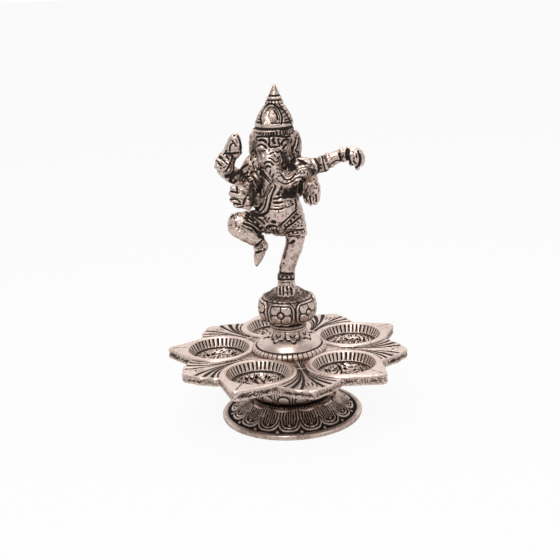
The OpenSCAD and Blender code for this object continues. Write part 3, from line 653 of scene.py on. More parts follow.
STEM_SHARES = ((0, 0), (0.80, 0), (0.90, 0.03), (0.955, 0.10), (0.985, 0.20), (1, 0.34), (0.96, 0.50),
               (0.86, 0.64), (0.79, 0.70), (0.79, 1), (0, 1))
stem = turned("lotus_stem", scaled(STEM_SHARES, STEM_R, FOOT_TOP, STEM_H), stem_relief)
finish_piece(stem, "stem_lotus")

# %% [markdown]
# ## The dome and its gadroons
# A low dome stands on the tray. Round its base runs a ring of close ribs, called gadroons, and a collar of
# pointed leaves hangs from the neck, each leaf with a small crescent cut in it.

# %% Dome collar
GADROONS = 44
LAPPETS = 8
DOME_H = DOME_TOP - TRAY_TOP
DOME_TURN = math.radians(-79)
GADROON_TOP = 2.5
LEAF_TOP = NECK_TOP + 1.2
LEAF_SINK = 0.32


def leaf_collar(angle, radius, height):
    """The collar of leaves from the neck down over the dome: its relief, its patina and where it is."""
    drop = np.maximum(LEAF_TOP - height, 0) * 0.75 + np.maximum(radius - 8.2, 0) * 0.82
    side = np.abs(fold(angle, LAPPETS, DOME_TURN)) / (math.pi / LAPPETS)
    across = side * math.pi / LAPPETS * radius
    edge = 6.5 - 2.0 * smooth_step(side, 0.04, 0.42) - 1.5 * smooth_step(side, 0.68, 1.0)
    leaf = drop < edge
    line = ridge(drop - edge - 0.1, 0.62)
    cleft = ridge(math.pi / LAPPETS * radius - across, 0.34) * leaf * (drop > 0.6)
    mark = ridge(np.hypot(across, (drop - 2.0) * 1.15) - 1.15, 0.42) * (drop > 1.9) * leaf
    lift = LEAF_SINK * leaf - 0.55 * line - 0.45 * mark - 0.45 * cleft
    return lift, np.clip(0.95 * line + 0.9 * mark + 0.9 * cleft, 0, 1), drop < 8.0


def dome_relief(angle, radius, height, at):
    z = height - TRAY_TOP
    ring = (z < GADROON_TOP + 0.05) & (radius > DOME_R * 0.86)
    rib = smooth_step(np.abs(np.cos(GADROONS * angle / 2)), 0.10, 0.45)
    lift = np.where(ring, 0.40 * (rib - 0.9), 0)
    dark = np.where(ring, 0.10 + 0.80 * (1 - rib), 0.03)
    groove = ridge(radius - DOME_R * 0.885, 0.36) * (z > 0.2 * DOME_H)
    lift = lift - 0.25 * groove
    dark = dark + 0.45 * groove
    leaf_lift, leaf_dark, on_leaf = leaf_collar(angle, radius, height)
    on_leaf = on_leaf & (z > 0.3 * DOME_H) & (radius < DOME_R * 0.86)
    return lift + np.where(on_leaf, leaf_lift, 0), dark + np.where(on_leaf, leaf_dark, 0)


DOME_SHARES = ((0.865, 0.36), (0.82, 0.50), (0.765, 0.635), (0.69, 0.76), (0.61, 0.87), (0.56, 0.94))
dome_foot = ((0, -0.4), (0.93, -0.4), (0.975, 0.2), (0.995, 0.9), (0.985, 1.6), (0.95, 2.2),
             (0.905, GADROON_TOP), (0.885, 2.35))
dome_profile = scaled(dome_foot, DOME_R, TRAY_TOP, 1) + scaled(DOME_SHARES, DOME_R, TRAY_TOP, DOME_H)
dome_profile += [(DOME_R * r, TRAY_TOP + DOME_H - 0.3) for r in (0.53, 0)]
dome_collar = turned("dome_collar_casting", dome_profile, dome_relief)
finish_piece(dome_collar, "dome_collar")


# %% Neck ring
def neck_relief(angle, radius, height, at):
    lift, dark, on_leaf = leaf_collar(angle, radius, height)
    face = radius > NECK_R * 0.88
    return np.where(face, lift - LEAF_SINK, 0), 0.04 + np.where(face, dark, 0.3)


NECK_SHARES = ((0.97, 0.05), (0.945, 0.30), (0.92, 0.65), (0.905, 1), (0, 1))
neck_profile = [(0, DOME_TOP - 0.35), (NECK_R * 0.985, DOME_TOP - 0.35)]
neck_profile += scaled(NECK_SHARES, NECK_R, DOME_TOP, NECK_TOP - DOME_TOP)
neck = turned("neck_ring_casting", neck_profile, neck_relief)
finish_piece(neck, "neck_ring")

# %% [markdown]
# ## The lotus globe
# The figure stands on a round globe. Six arched panels run round it, parted by deep grooves, and each holds a
# flower of four petals with a bead in the middle. Its top is a low cap with a rough, hammered face.

# %% Lotus globe
GLOBE_PANELS = 6
GLOBE_TURN = math.radians(-104.5)
GLOBE_H = SOLE_Z - NECK_TOP
WAIST_SHARE, CAP_SHARE = 0.215, 0.935
PANEL_SHARES = (0.285, 0.915)
MOUND = 1.5


def globe_relief(angle, radius, height, at):
    z = height - NECK_TOP
    side = fold(angle, GLOBE_PANELS, GLOBE_TURN) * GLOBE_R
    half = GLOBE_R * math.pi / GLOBE_PANELS
    low, high = (share * GLOBE_H for share in PANEL_SHARES)
    corner = half * 0.50
    dx = np.maximum(np.abs(side) - (half - 0.35 - corner), 0)
    dz = np.maximum(np.abs(z - (low + high) / 2) - ((high - low) / 2 - corner), 0)
    inside = corner - np.hypot(dx, dz)
    waist, cap = z < WAIST_SHARE * GLOBE_H, z > CAP_SHARE * GLOBE_H
    panel_band = ~waist & ~cap
    gap = (1 - smooth_step(inside, -0.30, 0.10)) * panel_band
    outline = ridge(inside + 0.10, 0.40) * panel_band
    frame_line = ridge(inside - 0.62, 0.42) * panel_band
    channel = ridge(inside - 1.25, 0.34) * panel_band
    above = z - (low + high) / 2
    reach = np.hypot(side, above)
    turn = np.arctan2(above, side)
    petal_edge = 3.1 + 2.75 * np.abs(np.sin(2 * turn)) ** 0.6
    petal_line = ridge(reach - petal_edge, 0.50) * (inside > 0.75) * panel_band
    petal_body = (reach < petal_edge) * smooth_step(reach, 1.0, 2.6) * panel_band
    bead = dome(reach, 1.10) * panel_band
    bead_ring = ridge(reach - 1.5, 0.45) * panel_band
    parting = ridge(fold(turn, 4) * reach, 0.40) * (reach > 1.7) * (reach < 5.0) * (inside > 0.9) * panel_band
    crease = ridge(fold(turn, 4, math.pi / 4) * reach, 0.26) * (reach > 3.6) * (reach < 5.3) * panel_band
    lift = (0.35 * frame_line - 0.55 * gap - 0.25 * outline - 0.25 * channel + 0.40 * petal_body
            - 0.42 * petal_line + 0.75 * bead - 0.42 * bead_ring - 0.35 * parting - 0.15 * crease)
    dark = (0.10 + 0.30 * gap + 0.55 * outline + 0.80 * petal_line + 0.75 * bead_ring - 0.3 * bead
            + 0.85 * parting + 0.45 * crease + 0.40 * channel - 0.10 * petal_body)
    waist_lines = 0.4 * ridge(z - 0.205 * GLOBE_H, 0.4) + 0.5 * ridge(z - 0.08 * GLOBE_H, 0.4)
    dark = np.where(waist, 0.33 + waist_lines, dark)
    leaf_lift, leaf_dark, on_leaf = leaf_collar(angle, radius, height)
    leaf_top = (z < 0.07 * GLOBE_H) & (radius > GLOBE_R * 0.6)
    lift = lift + np.where(leaf_top, leaf_lift - LEAF_SINK, 0)
    dark = np.where(leaf_top, 0.06 + leaf_dark, dark)
    grain = rough(np.stack([radius * np.cos(angle), radius * np.sin(angle), z], axis=1), 0.95, 21)
    mound = smooth_step(-radius, -9.5, -4.5) * smooth_step(radius * np.sin(angle), -5.0, 0.5)
    lift = lift + np.where(cap & (radius > 3), 0.10 * grain, 0) + np.where(cap, MOUND * mound, 0)
    dark = dark + np.where(cap, 0.40 + 0.18 * grain, 0)
    return lift, dark


GLOBE_SHARES = [(0, 0), (0.638, 0), (0.63, 0.07), (0.618, 0.082), (0.64, 0.10), (0.65, 0.14), (0.645, 0.185),
                (0.665, 0.21), (0.76, 0.235), (0.87, 0.30), (0.945, 0.40), (0.985, 0.52), (1, 0.64),
                (0.985, 0.74), (0.955, 0.82), (0.90, 0.895), (0.875, 0.925), (0.835, 0.945), (0.70, 0.985),
                (0.54, 1.04), (0.42, 1.062), (0.2, 1.068), (0, 1.068)]
globe_profile = scaled(GLOBE_SHARES, GLOBE_R, NECK_TOP, GLOBE_H)
globe = turned("lotus_globe_casting", globe_profile, globe_relief)
finish_piece(globe, "lotus_globe")

# %% [markdown]
# ## Shapes that aren't round
# The tray's petals and fans are flat castings with an outline of their own. Each is built in the same way as
# a turned piece, but its rings follow an outline: for every angle round the middle of the piece, a list gives
# the radius and the height of each ring, from the middle of its face over the edge to the middle of its
# underside.

# %% Pieces made of rings
LEAST_NORMAL = 1e-12


def ringed(name, rings, counts, columns, relief, centre=(0, 0), turn=0.0):
    """A closed piece: rings(angle) gives its radii and heights, and counts the rows between rings."""
    piece, u, v = sheet(name, columns, sum(counts))
    knots = np.concatenate([[0], np.cumsum(counts)]) / sum(counts)

    def body(u, v):
        angle = 2 * math.pi * u
        at = np.interp(v, knots, np.arange(len(knots)))
        first = np.clip(at.astype(int), 0, len(counts) - 1)
        share = at - first
        radii, heights = rings(angle)
        each = np.arange(len(angle))
        radius = radii[first, each] * (1 - share) + radii[first + 1, each] * share
        height = heights[first, each] * (1 - share) + heights[first + 1, each] * share
        return np.stack([radius * np.cos(angle), radius * np.sin(angle), height], axis=1), angle, radius, at

    points, angle, radius, at = body(u, v)
    step_u, step_v = 0.5 / columns, 0.5 / sum(counts)
    flow_u = body(u + step_u, v)[0] - body(u - step_u, v)[0]
    flow_v = body(u, np.clip(v + step_v, 0, 1))[0] - body(u, np.clip(v - step_v, 0, 1))[0]
    normal = np.cross(flow_v, flow_u)
    normal /= np.linalg.norm(normal, axis=1)[:, None] + LEAST_NORMAL
    lift, patina = relief(points, angle, radius, at)
    points = points + normal * np.where(radius < ON_AXIS, 0, lift)[:, None]
    c, s = math.cos(turn), math.sin(turn)
    x, y = points[:, 0] + centre[0], points[:, 1] + centre[1]
    return close(piece, np.stack([c * x - s * y, s * x + c * y, points[:, 2]], axis=1), patina)


def turned_copies(piece, count):
    """Copies of a finished piece round the axis, each with its own mesh turned in place."""
    copies = [piece]
    for k in range(1, count):
        make_active(piece)
        bpy.ops.object.duplicate()
        copy = bpy.context.object
        copy.name = f"{piece.name}_{k + 1}"
        copy.data.transform(Matrix.Rotation(2 * math.pi * k / count, 4, "Z"))
        copies.append(copy)
    return copies


# %% [markdown]
# ## The wells
# Five oil wells lie round the tray. Each has a smooth rounded mouth, a wall of fine flutes, a narrow shelf
# and a dished floor with a bent leaf among small holes. Its border is drawn out to a point, with a crease
# from the point to the mouth. One well is built with its border, its turned-down edge and its underside, and
# copied four times.

# %% Shape of a well
WELLS = 5
WELL_R = 14.0
WELL_DEPTH = 6.2
WELL_RING_R = 32.65
PETAL_R = 17.1
TIP_R = 2.4
TIP_REACH = 21.4
EDGE_H = 4.2
EDGE_W = 1.8
EDGE_INSETS = (0, 0.1, 0.25, 0.05, 0.4)
LIP_SHARES = (0.58, 0.86, 1.0, 1.0)
SHELF_R = WELL_R * 0.84
SHELF_Z = WELL_DEPTH * 0.62
FLOOR_R = WELL_R * 0.62
TRAY_TURN = math.radians(28)
TIP_PHI = math.acos((PETAL_R - TIP_R) / TIP_REACH)
WELL_FLUTES = 44


def petal_edge(side):
    """The distance from the middle of a well to the edge of its pointed border."""
    straight = PETAL_R / np.cos(np.clip(TIP_PHI - side, -1.5, 1.5))
    tip = TIP_REACH * np.cos(side) + np.sqrt(np.clip(TIP_R ** 2 - (TIP_REACH * np.sin(side)) ** 2, 0, None))
    touch = math.atan2(TIP_R * math.sin(TIP_PHI), TIP_REACH + TIP_R * math.cos(TIP_PHI))
    return np.where(side < touch, tip, np.where(side < TIP_PHI, straight, PETAL_R))


def well_rings(angle):
    side = np.abs(fold(angle, 1))
    edge = petal_edge(side)
    lip = EDGE_H - 3.0 * smooth_step(side, math.radians(56), math.radians(66))
    one = np.ones_like(angle)
    under = np.minimum(lip, TRAY_WALL)
    mouth = WELL_R + 0.9
    bowl = [(0, -WELL_DEPTH), (FLOOR_R, -WELL_DEPTH + 0.25), (SHELF_R * 0.93, -SHELF_Z), (SHELF_R, -SHELF_Z),
            (WELL_R - 0.1, -0.3), (WELL_R + 0.3, 0.32), (mouth, 0.60)]
    radii = [r * one for r, z in bowl] + [mouth + 0.45 * (edge - mouth), edge - 0.8, edge - 0.25]
    radii += [edge - inset for inset in (*EDGE_INSETS, EDGE_W, EDGE_W)]
    radii += [r * one for r in (WELL_R + 0.7, SHELF_R + 1.5, FLOOR_R, 0)]
    heights = [TRAY_TOP + z * one for r, z in bowl]
    heights += [TRAY_TOP + z * one for z in (0.52, 0.28, -0.05, -0.6)]
    heights += [TRAY_TOP - lip * share for share in (0.38, *LIP_SHARES)]
    heights += [TRAY_TOP - under, TRAY_TOP - TRAY_WALL * one, TRAY_TOP - (SHELF_Z + 0.9) * one,
                TRAY_TOP - (WELL_DEPTH + 0.8) * one, TRAY_TOP - (WELL_DEPTH + 1.1) * one]
    return np.array(radii), np.array(heights)


WELL_COLUMNS = 440
WELL_ROWS = (56, 12, 4, 26, 5, 4, 8, 12, 4, 4, 6, 6, 6, 4, 3, 3, 6, 6, 6, 6)

# %% Relief of a well
LEAF_LINE = ((-6.4, -3.4), (-3.2, -0.4), (0.2, 1.6), (3.4, 0.9), (6.6, -2.6))
LEAF_SPRIGS = (((-3.2, -0.4), (-5.6, 3.4)), ((0.2, 1.6), (0.6, 6.6)), ((3.4, 0.9), (6.0, 4.2)),
               ((-1.2, 0.8), (-2.0, -5.4)), ((2.4, 1.2), (2.6, -5.6)))


def to_line(x, y, points):
    """The distance from each point to a chain of straight lines."""
    best = np.full(len(x), np.inf)
    for (x0, y0), (x1, y1) in zip(points, points[1:]):
        dx, dy = x1 - x0, y1 - y0
        t = np.clip(((x - x0) * dx + (y - y0) * dy) / max(dx * dx + dy * dy, TINY), 0, 1)
        best = np.minimum(best, np.hypot(x - x0 - t * dx, y - y0 - t * dy))
    return best


# %% Floor of a well
def scattered(count, reach, gap, seed):
    """Seeded places in a round field, none nearer to another than the gap."""
    rng = np.random.default_rng(seed)
    places = []
    for x, y in rng.uniform(-reach, reach, size=(count * 60, 2)):
        clear = all(math.dist((x, y), p) > gap for p in places)
        if len(places) < count and math.hypot(x, y) < reach and clear:
            places.append((x, y))
    return places


def floor_relief(x, y, mottled, specks):
    bent_leaf = to_line(x, y, LEAF_LINE)
    sprigs = np.min([to_line(x, y, line) for line in LEAF_SPRIGS], axis=0)
    hole = np.min([np.hypot(x - px, y - py) for px, py in scattered(64, FLOOR_R * 1.08, 1.5, 3)], axis=0)
    clear = (bent_leaf > 1.1) & (sprigs > 0.75)
    pit = smooth_step(-hole, -0.78, -0.42) * clear
    speck = smooth_step(specks, 0.25, 0.7) * clear
    outline = np.maximum(ridge(bent_leaf - 1.35, 0.60), 0.9 * ridge(sprigs - 0.95, 0.42) * (bent_leaf > 1.2))
    raised = np.maximum(ridge(bent_leaf, 1.05), 0.8 * ridge(sprigs, 0.7))
    lift = 0.55 * raised - 0.9 * pit - 0.6 * outline - 0.22 * speck + 0.15 * mottled
    dark = 0.12 + 0.95 * pit + 0.95 * outline + 0.62 * speck - 0.3 * raised + 0.10 * mottled
    return lift, dark


# %% Walls and edge of a well
def pitted_side(pitted, row):
    """The turned-down edge of the tray, rough from the sand and darkest half way down."""
    return -0.10 + 0.10 * pitted, 0.10 + 0.75 * smooth_step(pitted, 0.35, 0.9) * ridge(row, 1.3)


def well_relief(points, angle, radius, at):
    x, y = points[:, 0], points[:, 1]
    lift = np.zeros(len(angle))
    dark = np.full(len(angle), 0.03)
    mottled = rough(points, 2.6, 5)
    wall = (at > 3.1) & (at < 4.9)
    rib = np.abs(np.cos(WELL_FLUTES * angle / 2 + 0.25 * np.sin(7 * angle)))
    rib = smooth_step(rib, 0.26, 0.80) * smooth_step(at, 3.1, 3.35) + (1 - smooth_step(at, 3.1, 3.35))
    rib = rib + (1 - rib) * smooth_step(at, 4.1, 4.5)
    lift = np.where(wall, 0.42 * (rib - 0.75), lift)
    dark = np.where(wall, 0.04 + 0.90 * (1 - rib), dark)
    floor_lift, floor_dark = floor_relief(x, y, mottled, rough(points, 1.25, 9))
    lift = np.where(at < 1.9, floor_lift * smooth_step(-at, -1.9, -1.5), lift)
    dark = np.where(at < 1.9, floor_dark, dark)
    shelf = (at >= 1.9) & (at <= 3.1)
    step = ridge(at - 1.95, 0.22) + ridge(at - 3.02, 0.20)
    dark = np.where(shelf, 0.10 + 0.12 * mottled + 0.7 * step, dark)
    crease = ridge(y - 0.05 * (x - 18), 0.26) * smooth_step(x, 14.6, 15.4)
    crease = crease * smooth_step(-x, -21.8, -20.4) * (at < 9)
    lift = lift - 0.26 * crease
    dark = dark + 0.75 * crease
    side = (at > 10.2) & (at < 13.2)
    side_lift, side_dark = pitted_side(rough(points, 1.1, 7) + 0.6 * rough(points, 3.7, 8), at - 11.6)
    lift = np.where(side, side_lift, lift)
    dark = np.where(side, side_dark, dark)
    dark = np.where(at > 15, 0.40 + 0.15 * mottled, dark)
    return lift, dark


# %% Oil wells
well = ringed("oil_well", well_rings, WELL_ROWS, WELL_COLUMNS, well_relief, (WELL_RING_R, 0), TRAY_TURN)
finish_piece(well, fine=0.8, broad=0.7)
oil_wells = turned_copies(well, WELLS)

# %% [markdown]
# ## The fans between the wells
# A fan of cast leaf fills the space between each two wells. Its grooves lie close together near the dome and
# open outwards like a palm leaf, because each keeps its share of the distance between the two wells beside
# it. That share is also how they are made here: the formula needs no drawing, and a groove can never run into
# a well.

# %% Sizes of a fan
FAN_TURN = TRAY_TURN + math.pi / WELLS
FAN_TIP_R = 53.7
FAN_MIDDLE = 41.0
FAN_DROP = 0.3
FAN_LOBES = ((0.924, 0, 0.076), (0.872, 0.104, 0.073), (0.782, 0.19, 0.078))
FAN_WAVE = 0.0055
WELL_SIDE = (WELL_RING_R * math.cos(math.pi / WELLS), WELL_RING_R * math.sin(math.pi / WELLS))
UNDER_PETAL_R = 15.9
PASSAGE_X = 25.2
FAN_GROOVES = ((0.03, 0.28, 0.9), (0.135, 0.80, 1.0), (0.265, 0.92, 1.0), (0.385, 0.72, 1.0))


# %% Edge of a fan
def ray_to_circle(angle, centre, radius, far):
    """How far a ray from the origin goes until it meets a circle, and infinity where it misses it."""
    along_ray = centre[0] * np.cos(angle) + centre[1] * np.sin(angle)
    square = radius ** 2 - (centre[0] ** 2 + centre[1] ** 2 - along_ray ** 2)
    root = np.sqrt(np.clip(square, 0, None))
    hit = along_ray + root if far else along_ray - root
    return np.where((square > 0) & (along_ray > 0), hit, np.inf)


def clear_of_wells(angle, edge, middle):
    """The nearer of an edge and the wells beside it, from a place so far out on a fan's middle line."""
    for side in (1, -1):
        centre = (WELL_SIDE[0] - middle, side * WELL_SIDE[1])
        edge = np.minimum(edge, ray_to_circle(angle, centre, UNDER_PETAL_R, False))
    return edge


def fan_edge(angle):
    """The distance from the middle of a fan to its softly waved edge, or to the petal beside it."""
    lobes = np.zeros_like(angle)
    for (x0, y0, r0), (x1, y1, r1) in zip(FAN_LOBES, FAN_LOBES[1:]):
        for t in np.linspace(0, 1, 8):
            x, y = x0 + (x1 - x0) * t, y0 + (y1 - y0) * t
            r = r0 + (r1 - r0) * t - FAN_WAVE * math.sin(math.pi * t)
            for side in (1, -1):
                centre = (x * FAN_TIP_R - FAN_MIDDLE, side * y * FAN_TIP_R)
                hit = ray_to_circle(angle, centre, r * FAN_TIP_R, True)
                lobes = np.maximum(lobes, np.where(np.isinf(hit), 0, hit))
    edge = clear_of_wells(angle, np.where(lobes > 0, lobes, np.inf), FAN_MIDDLE)
    inwards = np.cos(angle) < -0.5
    passage = (FAN_MIDDLE - PASSAGE_X) / np.clip(-np.cos(angle), 0.3, 1)
    return np.minimum(edge, np.where(inwards, passage, 60.0))


# %% Grooves of a fan
def leaf_grooves(x, y, edge_distance):
    """Grooves and marks of a fan at points in the fan's own frame, whose x runs outwards."""
    left = np.hypot(x - WELL_SIDE[0], y - WELL_SIDE[1]) - PETAL_R
    right = np.hypot(x - WELL_SIDE[0], y + WELL_SIDE[1]) - PETAL_R
    width = np.maximum(left + right, 0.5)
    share = left / width
    cut = np.zeros_like(x)
    stop = smooth_step(edge_distance, 0.5, 1.4)
    opening = smooth_step(x, 24.0, 47.0)
    for place, half, depth in FAN_GROOVES:
        for at in (place, 1 - place):
            spread = half * (0.36 + 0.64 * opening)
            cut = np.maximum(cut, depth * ridge((share - at) * width, spread) * stop)
    start = FAN_TIP_R - 7.2
    small_u = np.where(x < start, np.abs(y), np.hypot(x - start, y))
    cut = np.maximum(cut, ridge(small_u - 0.90, 0.40) * (x > start - 3.4))
    start = FAN_TIP_R - 5.6
    long_u = np.where(x < start, np.abs(y) * (1 - 0.02 * (start - x)), np.hypot(x - start, y))
    cut = np.maximum(cut, ridge(long_u - 2.25, 0.30) * (x > start - 3.6) * (x < start + 1.2))
    rim = ridge(np.minimum(left, right), 0.4)
    return cut, rim


# %% Rings and relief of a fan
def fan_rings(angle):
    edge = fan_edge(angle)
    side = np.abs(fold(angle, 1))
    lip = EDGE_H - FAN_DROP - 2.6 * smooth_step(side, math.radians(98), math.radians(112))
    one = np.ones_like(angle)
    top = TRAY_TOP - FAN_DROP
    under = np.minimum(lip, TRAY_WALL - FAN_DROP)
    inner = np.maximum(edge - EDGE_W, 0.3)
    radii = [0 * one, edge - 1.0, edge - 0.35, *(edge - inset for inset in EDGE_INSETS)]
    radii += [inner, inner, 0 * one]
    heights = [top * one, top * one, (top - 0.22) * one, (top - 0.8) * one]
    heights += [top - lip * share for share in (0.40, *LIP_SHARES)]
    heights += [top - under, (top - (TRAY_WALL - FAN_DROP)) * one]
    return np.array(radii), np.array(heights)


FAN_COLUMNS = 420
FAN_ROWS = (150, 5, 6, 5, 6, 6, 4, 3, 4, 8)


def fan_relief(points, angle, radius, at):
    x, y = points[:, 0] + FAN_MIDDLE, points[:, 1]
    edge_distance = np.where(np.abs(angle - math.pi) > math.radians(72), fan_edge(angle) - radius, 9)
    cut, rim = leaf_grooves(x, y, edge_distance)
    face = at < 1.0
    pitted = rough(points + 3.1, 1.1, 11) + 0.6 * rough(points, 3.7, 12)
    bare = rough(points, 5.0, 13)
    lift = np.where(face, -0.55 * cut - 0.20 * rim, 0)
    dark = np.where(face, 0.02 + 0.95 * cut + 0.6 * rim + 0.05 * bare, 0.04)
    side_face = (at > 3.1) & (at < 6.1)
    side_lift, side_dark = pitted_side(pitted, at - 4.6)
    lift = np.where(side_face, side_lift, lift)
    dark = np.where(side_face, side_dark, dark)
    return lift, np.where(at > 8, 0.4, dark)


# %% Fan leaves
fan = ringed("fan_leaf", fan_rings, FAN_ROWS, FAN_COLUMNS, fan_relief, (FAN_MIDDLE, 0), FAN_TURN)
finish_piece(fan, fine=0.8, broad=0.5)
fan_leaves = turned_copies(fan, WELLS)

# %% Plate under the dome
PLATE_X = PASSAGE_X + 0.5
PLATE_ROWS, PLATE_COLUMNS = (4, 60, 4, 8), 900


def plate_edge(angle):
    local = fold(angle, WELLS, FAN_TURN)
    return clear_of_wells(local, PLATE_X / np.cos(local), 0)


def plate_rings(angle):
    edge = plate_edge(angle)
    one = np.ones_like(angle)
    top = TRAY_TOP - FAN_DROP - 0.04
    low = TRAY_UNDER
    return (np.array([0 * one, 15 * one, edge, edge, 0 * one]),
            np.array([top * one, top * one, top * one, low * one, low * one]))


def plate_relief(points, angle, radius, at):
    local = fold(angle, WELLS, FAN_TURN)
    cut, rim = leaf_grooves(radius * np.cos(local), radius * np.sin(local), np.full(len(angle), 9.0))
    face = (at > 1.0) & (at < 2.0)
    return np.where(face, -0.55 * cut - 0.20 * rim, 0), np.where(face, 0.06 + 0.90 * cut + 0.6 * rim, 0.4)


plate = ringed("tray_plate", plate_rings, PLATE_ROWS, PLATE_COLUMNS, plate_relief)
finish_piece(plate, "diya_tray")
for piece in oil_wells + fan_leaves:
    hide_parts("diya_tray")
print("tray pieces:", len(oil_wells) + len(fan_leaves) + 1)

# %% [markdown]
# ## The dancing figure
# The figure is one casting with four arms, a trunk that curls to its left side, a leg folded across the body
# and a tall crown. Its solid already has every limb in place, so the visual piece starts from a copy of that
# mesh. The copy is merged, and a voxel remesh turns the crossing limbs into one even skin that can be
# smoothed and then carved.

# %% Skin of the figure
VOXEL = 0.27
NODE_MERGE = 0.002
HEAD_SHIFT = -0.7

skin = bpy.data.objects.new("dancing_figure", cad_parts["figure"].data.copy())
bpy.context.scene.collection.objects.link(skin)
merge_points(skin, NODE_MERGE)
apply_modifier(skin, "REMESH", mode="VOXEL", voxel_size=VOXEL * MM)
apply_modifier(skin, "SMOOTH", factor=0.5, iterations=5)
bpy.ops.object.shade_smooth()
places, _ = read_points(skin)
up_share = (places[:, 2] - SOLE_Z) / FIGURE_H
head = smooth_step(up_share, 0.60, 0.68) * smooth_step(-np.abs(places[:, 0]), -17, -14)
places[:, 0] += HEAD_SHIFT * head
move_points(skin, places)
print(f"{skin.name}: {len(places)} points")

# %% [markdown]
# ## Carving by the photograph's view
# The folds, jewels and fingers of the figure are fine lines. Each is a stroke: a width, a depth and a row of
# places in the photograph's frame of 560 by 560. Every point of the skin is projected through the camera, and
# where it faces the camera and nothing hides it, it is pushed in under a groove or out under a ridge.
# Modelling every line in edit mode would take days and give the same relief.

# %% Strokes on the skin
EDGE_ON, FULL_ON = 0.05, 0.35
STROKE_FILL = 1.7
BACK_VIEW = (280, 400, 2.2)
CAMERA_AXES = [np.array(axis) for axis in (camera_right, camera_up, back)]
CAMERA_MM = np.array(camera_place) / MM


def to_photo(points):
    """Places in the photograph's frame, and the depth from the camera, of points in millimetres."""
    right, up, away = (axis @ (points - CAMERA_MM).T for axis in CAMERA_AXES)
    return FRAME_PX / 2 - FOCAL_PX * right / away, FRAME_PX / 2 + FOCAL_PX * up / away, -away


def visible(u, v, depth, margin=1.3):
    """Which points nothing else hides: a small map keeps the nearest depth at every place of the frame."""
    column, row = np.clip(u.astype(int), 1, FRAME_PX - 2), np.clip(v.astype(int), 1, FRAME_PX - 2)
    nearest = np.full((FRAME_PX, FRAME_PX), np.inf)
    np.minimum.at(nearest, (row, column), depth)
    around = np.min([np.roll(np.roll(nearest, i, 0), j, 1) for i in (-1, 0, 1) for j in (-1, 0, 1)], axis=0)
    return depth < around[row, column] + margin


def curve(line, steps=5):
    """A smooth line through a few places."""
    p = [line[0]] + list(line) + [line[-1]]
    out = []
    for i in range(1, len(p) - 2):
        for k in range(steps):
            t = k / steps
            out.append(tuple(0.5 * (2 * b + (c - a) * t + (2 * a - 5 * b + 4 * c - d) * t * t
                                    + (3 * b - a - 3 * c + d) * t ** 3)
                             for a, b, c, d in zip(p[i - 1], p[i], p[i + 1], p[i + 2])))
    out.append(tuple(line[-1]))
    return out


def seen_from_front(points, normals):
    """Places in the photograph's frame, depths, and how much each point faces the camera."""
    u, v, depth = to_photo(points)
    towards = CAMERA_MM - points
    towards /= np.linalg.norm(towards, axis=1)[:, None]
    return u, v, depth, (normals * towards).sum(axis=1)


def seen_from_behind(points, normals):
    """A straight view of the back at about the photograph's scale."""
    x, z, scale = BACK_VIEW
    return x - scale * points[:, 0], z - scale * points[:, 2], -points[:, 1], normals[:, 1]


# %% Carving
def carve(piece, strokes, patina, view=seen_from_front):
    """Pushes the skin in or out under each stroke, and adds to its patina or brightens it there."""
    points, normals = read_points(piece)
    u, v, depth, facing = view(points, normals)
    in_view = np.flatnonzero((facing > EDGE_ON) & visible(u, v, depth))
    pu, pv = u[in_view], v[in_view]
    lift, dark = np.zeros(len(points)), np.zeros(len(points))
    for half, height, shade, line in strokes:
        line = curve(line) if len(line) > 2 else line
        (x0, y0), (x1, y1) = np.min(line, axis=0) - half, np.max(line, axis=0) + half
        near = np.flatnonzero((pu > x0) & (pu < x1) & (pv > y0) & (pv < y1))
        distance = to_line(pu[near], pv[near], line)
        at = in_view[near[distance < half]]
        strength = ridge(distance[distance < half], half)
        push = height * strength
        full = np.clip(STROKE_FILL * strength, 0, 1)
        deeper = np.where(np.abs(push) > np.abs(lift[at]), push, lift[at])
        lift[at] = deeper if height < 0 else lift[at] + push
        dark[at] = np.maximum(dark[at], shade * full) if shade > 0 else dark[at] + shade * full
    move_points(piece, points + normals * (lift * smooth_step(facing, EDGE_ON, FULL_ON))[:, None])
    set_patina(piece, patina + dark)
    print(f"{piece.name}: {len(strokes)} strokes on {len(in_view)} points in view")


# %% Beads on the skin
BEAD_R, BEAD_SINK = 0.68, 0.25


def beads_on(name, piece, places, radius):
    """One casting of small beads, each on the piece under its place in the photograph's frame."""
    points, normals = read_points(piece)
    u, v, depth, facing = seen_from_front(points, normals)
    front = np.flatnonzero((facing > 0.15) & visible(u, v, depth))
    deselect()
    bpy.ops.mesh.primitive_ico_sphere_add(subdivisions=2, radius=radius * MM)
    first = bpy.context.object
    copies = []
    for x, y in places:
        at = front[np.argmin(np.hypot(u[front] - x, v[front] - y))]
        bead = first.copy()
        bead.data = first.data.copy()
        bpy.context.scene.collection.objects.link(bead)
        balls, out = read_points(bead)
        patina = 0.60 - 0.62 * (out @ normals[at])
        move_points(bead, balls + points[at] + BEAD_SINK * radius * normals[at])
        set_patina(bead, patina)
        copies.append(bead)
    bpy.data.objects.remove(first)
    deselect()
    for bead in copies:
        bead.select_set(True)
    bpy.context.view_layer.objects.active = copies[0]
    bpy.ops.object.join()
    joined = bpy.context.object
    joined.name = name
    bpy.ops.object.shade_smooth()
    print(f"{name}: {len(places)} beads")
    return joined


# %% [markdown]
# The strokes are kept in groups. A stroke is a half width in the frame's pixels, a height in millimetres,
# which is negative for a groove, how dark the patina lies in it, and its places. A few broad strokes lay
# painted shade with the patina.

# %% Kinds of strokes
GROOVE_DARK, RIDGE_DARK = 0.95, -0.25
DOT = 0.2


def groove(half, depth, *line, shade=GROOVE_DARK):
    return half, -depth, shade, line


def raised(half, height, *line, shade=RIDGE_DARK):
    return half, height, shade, line


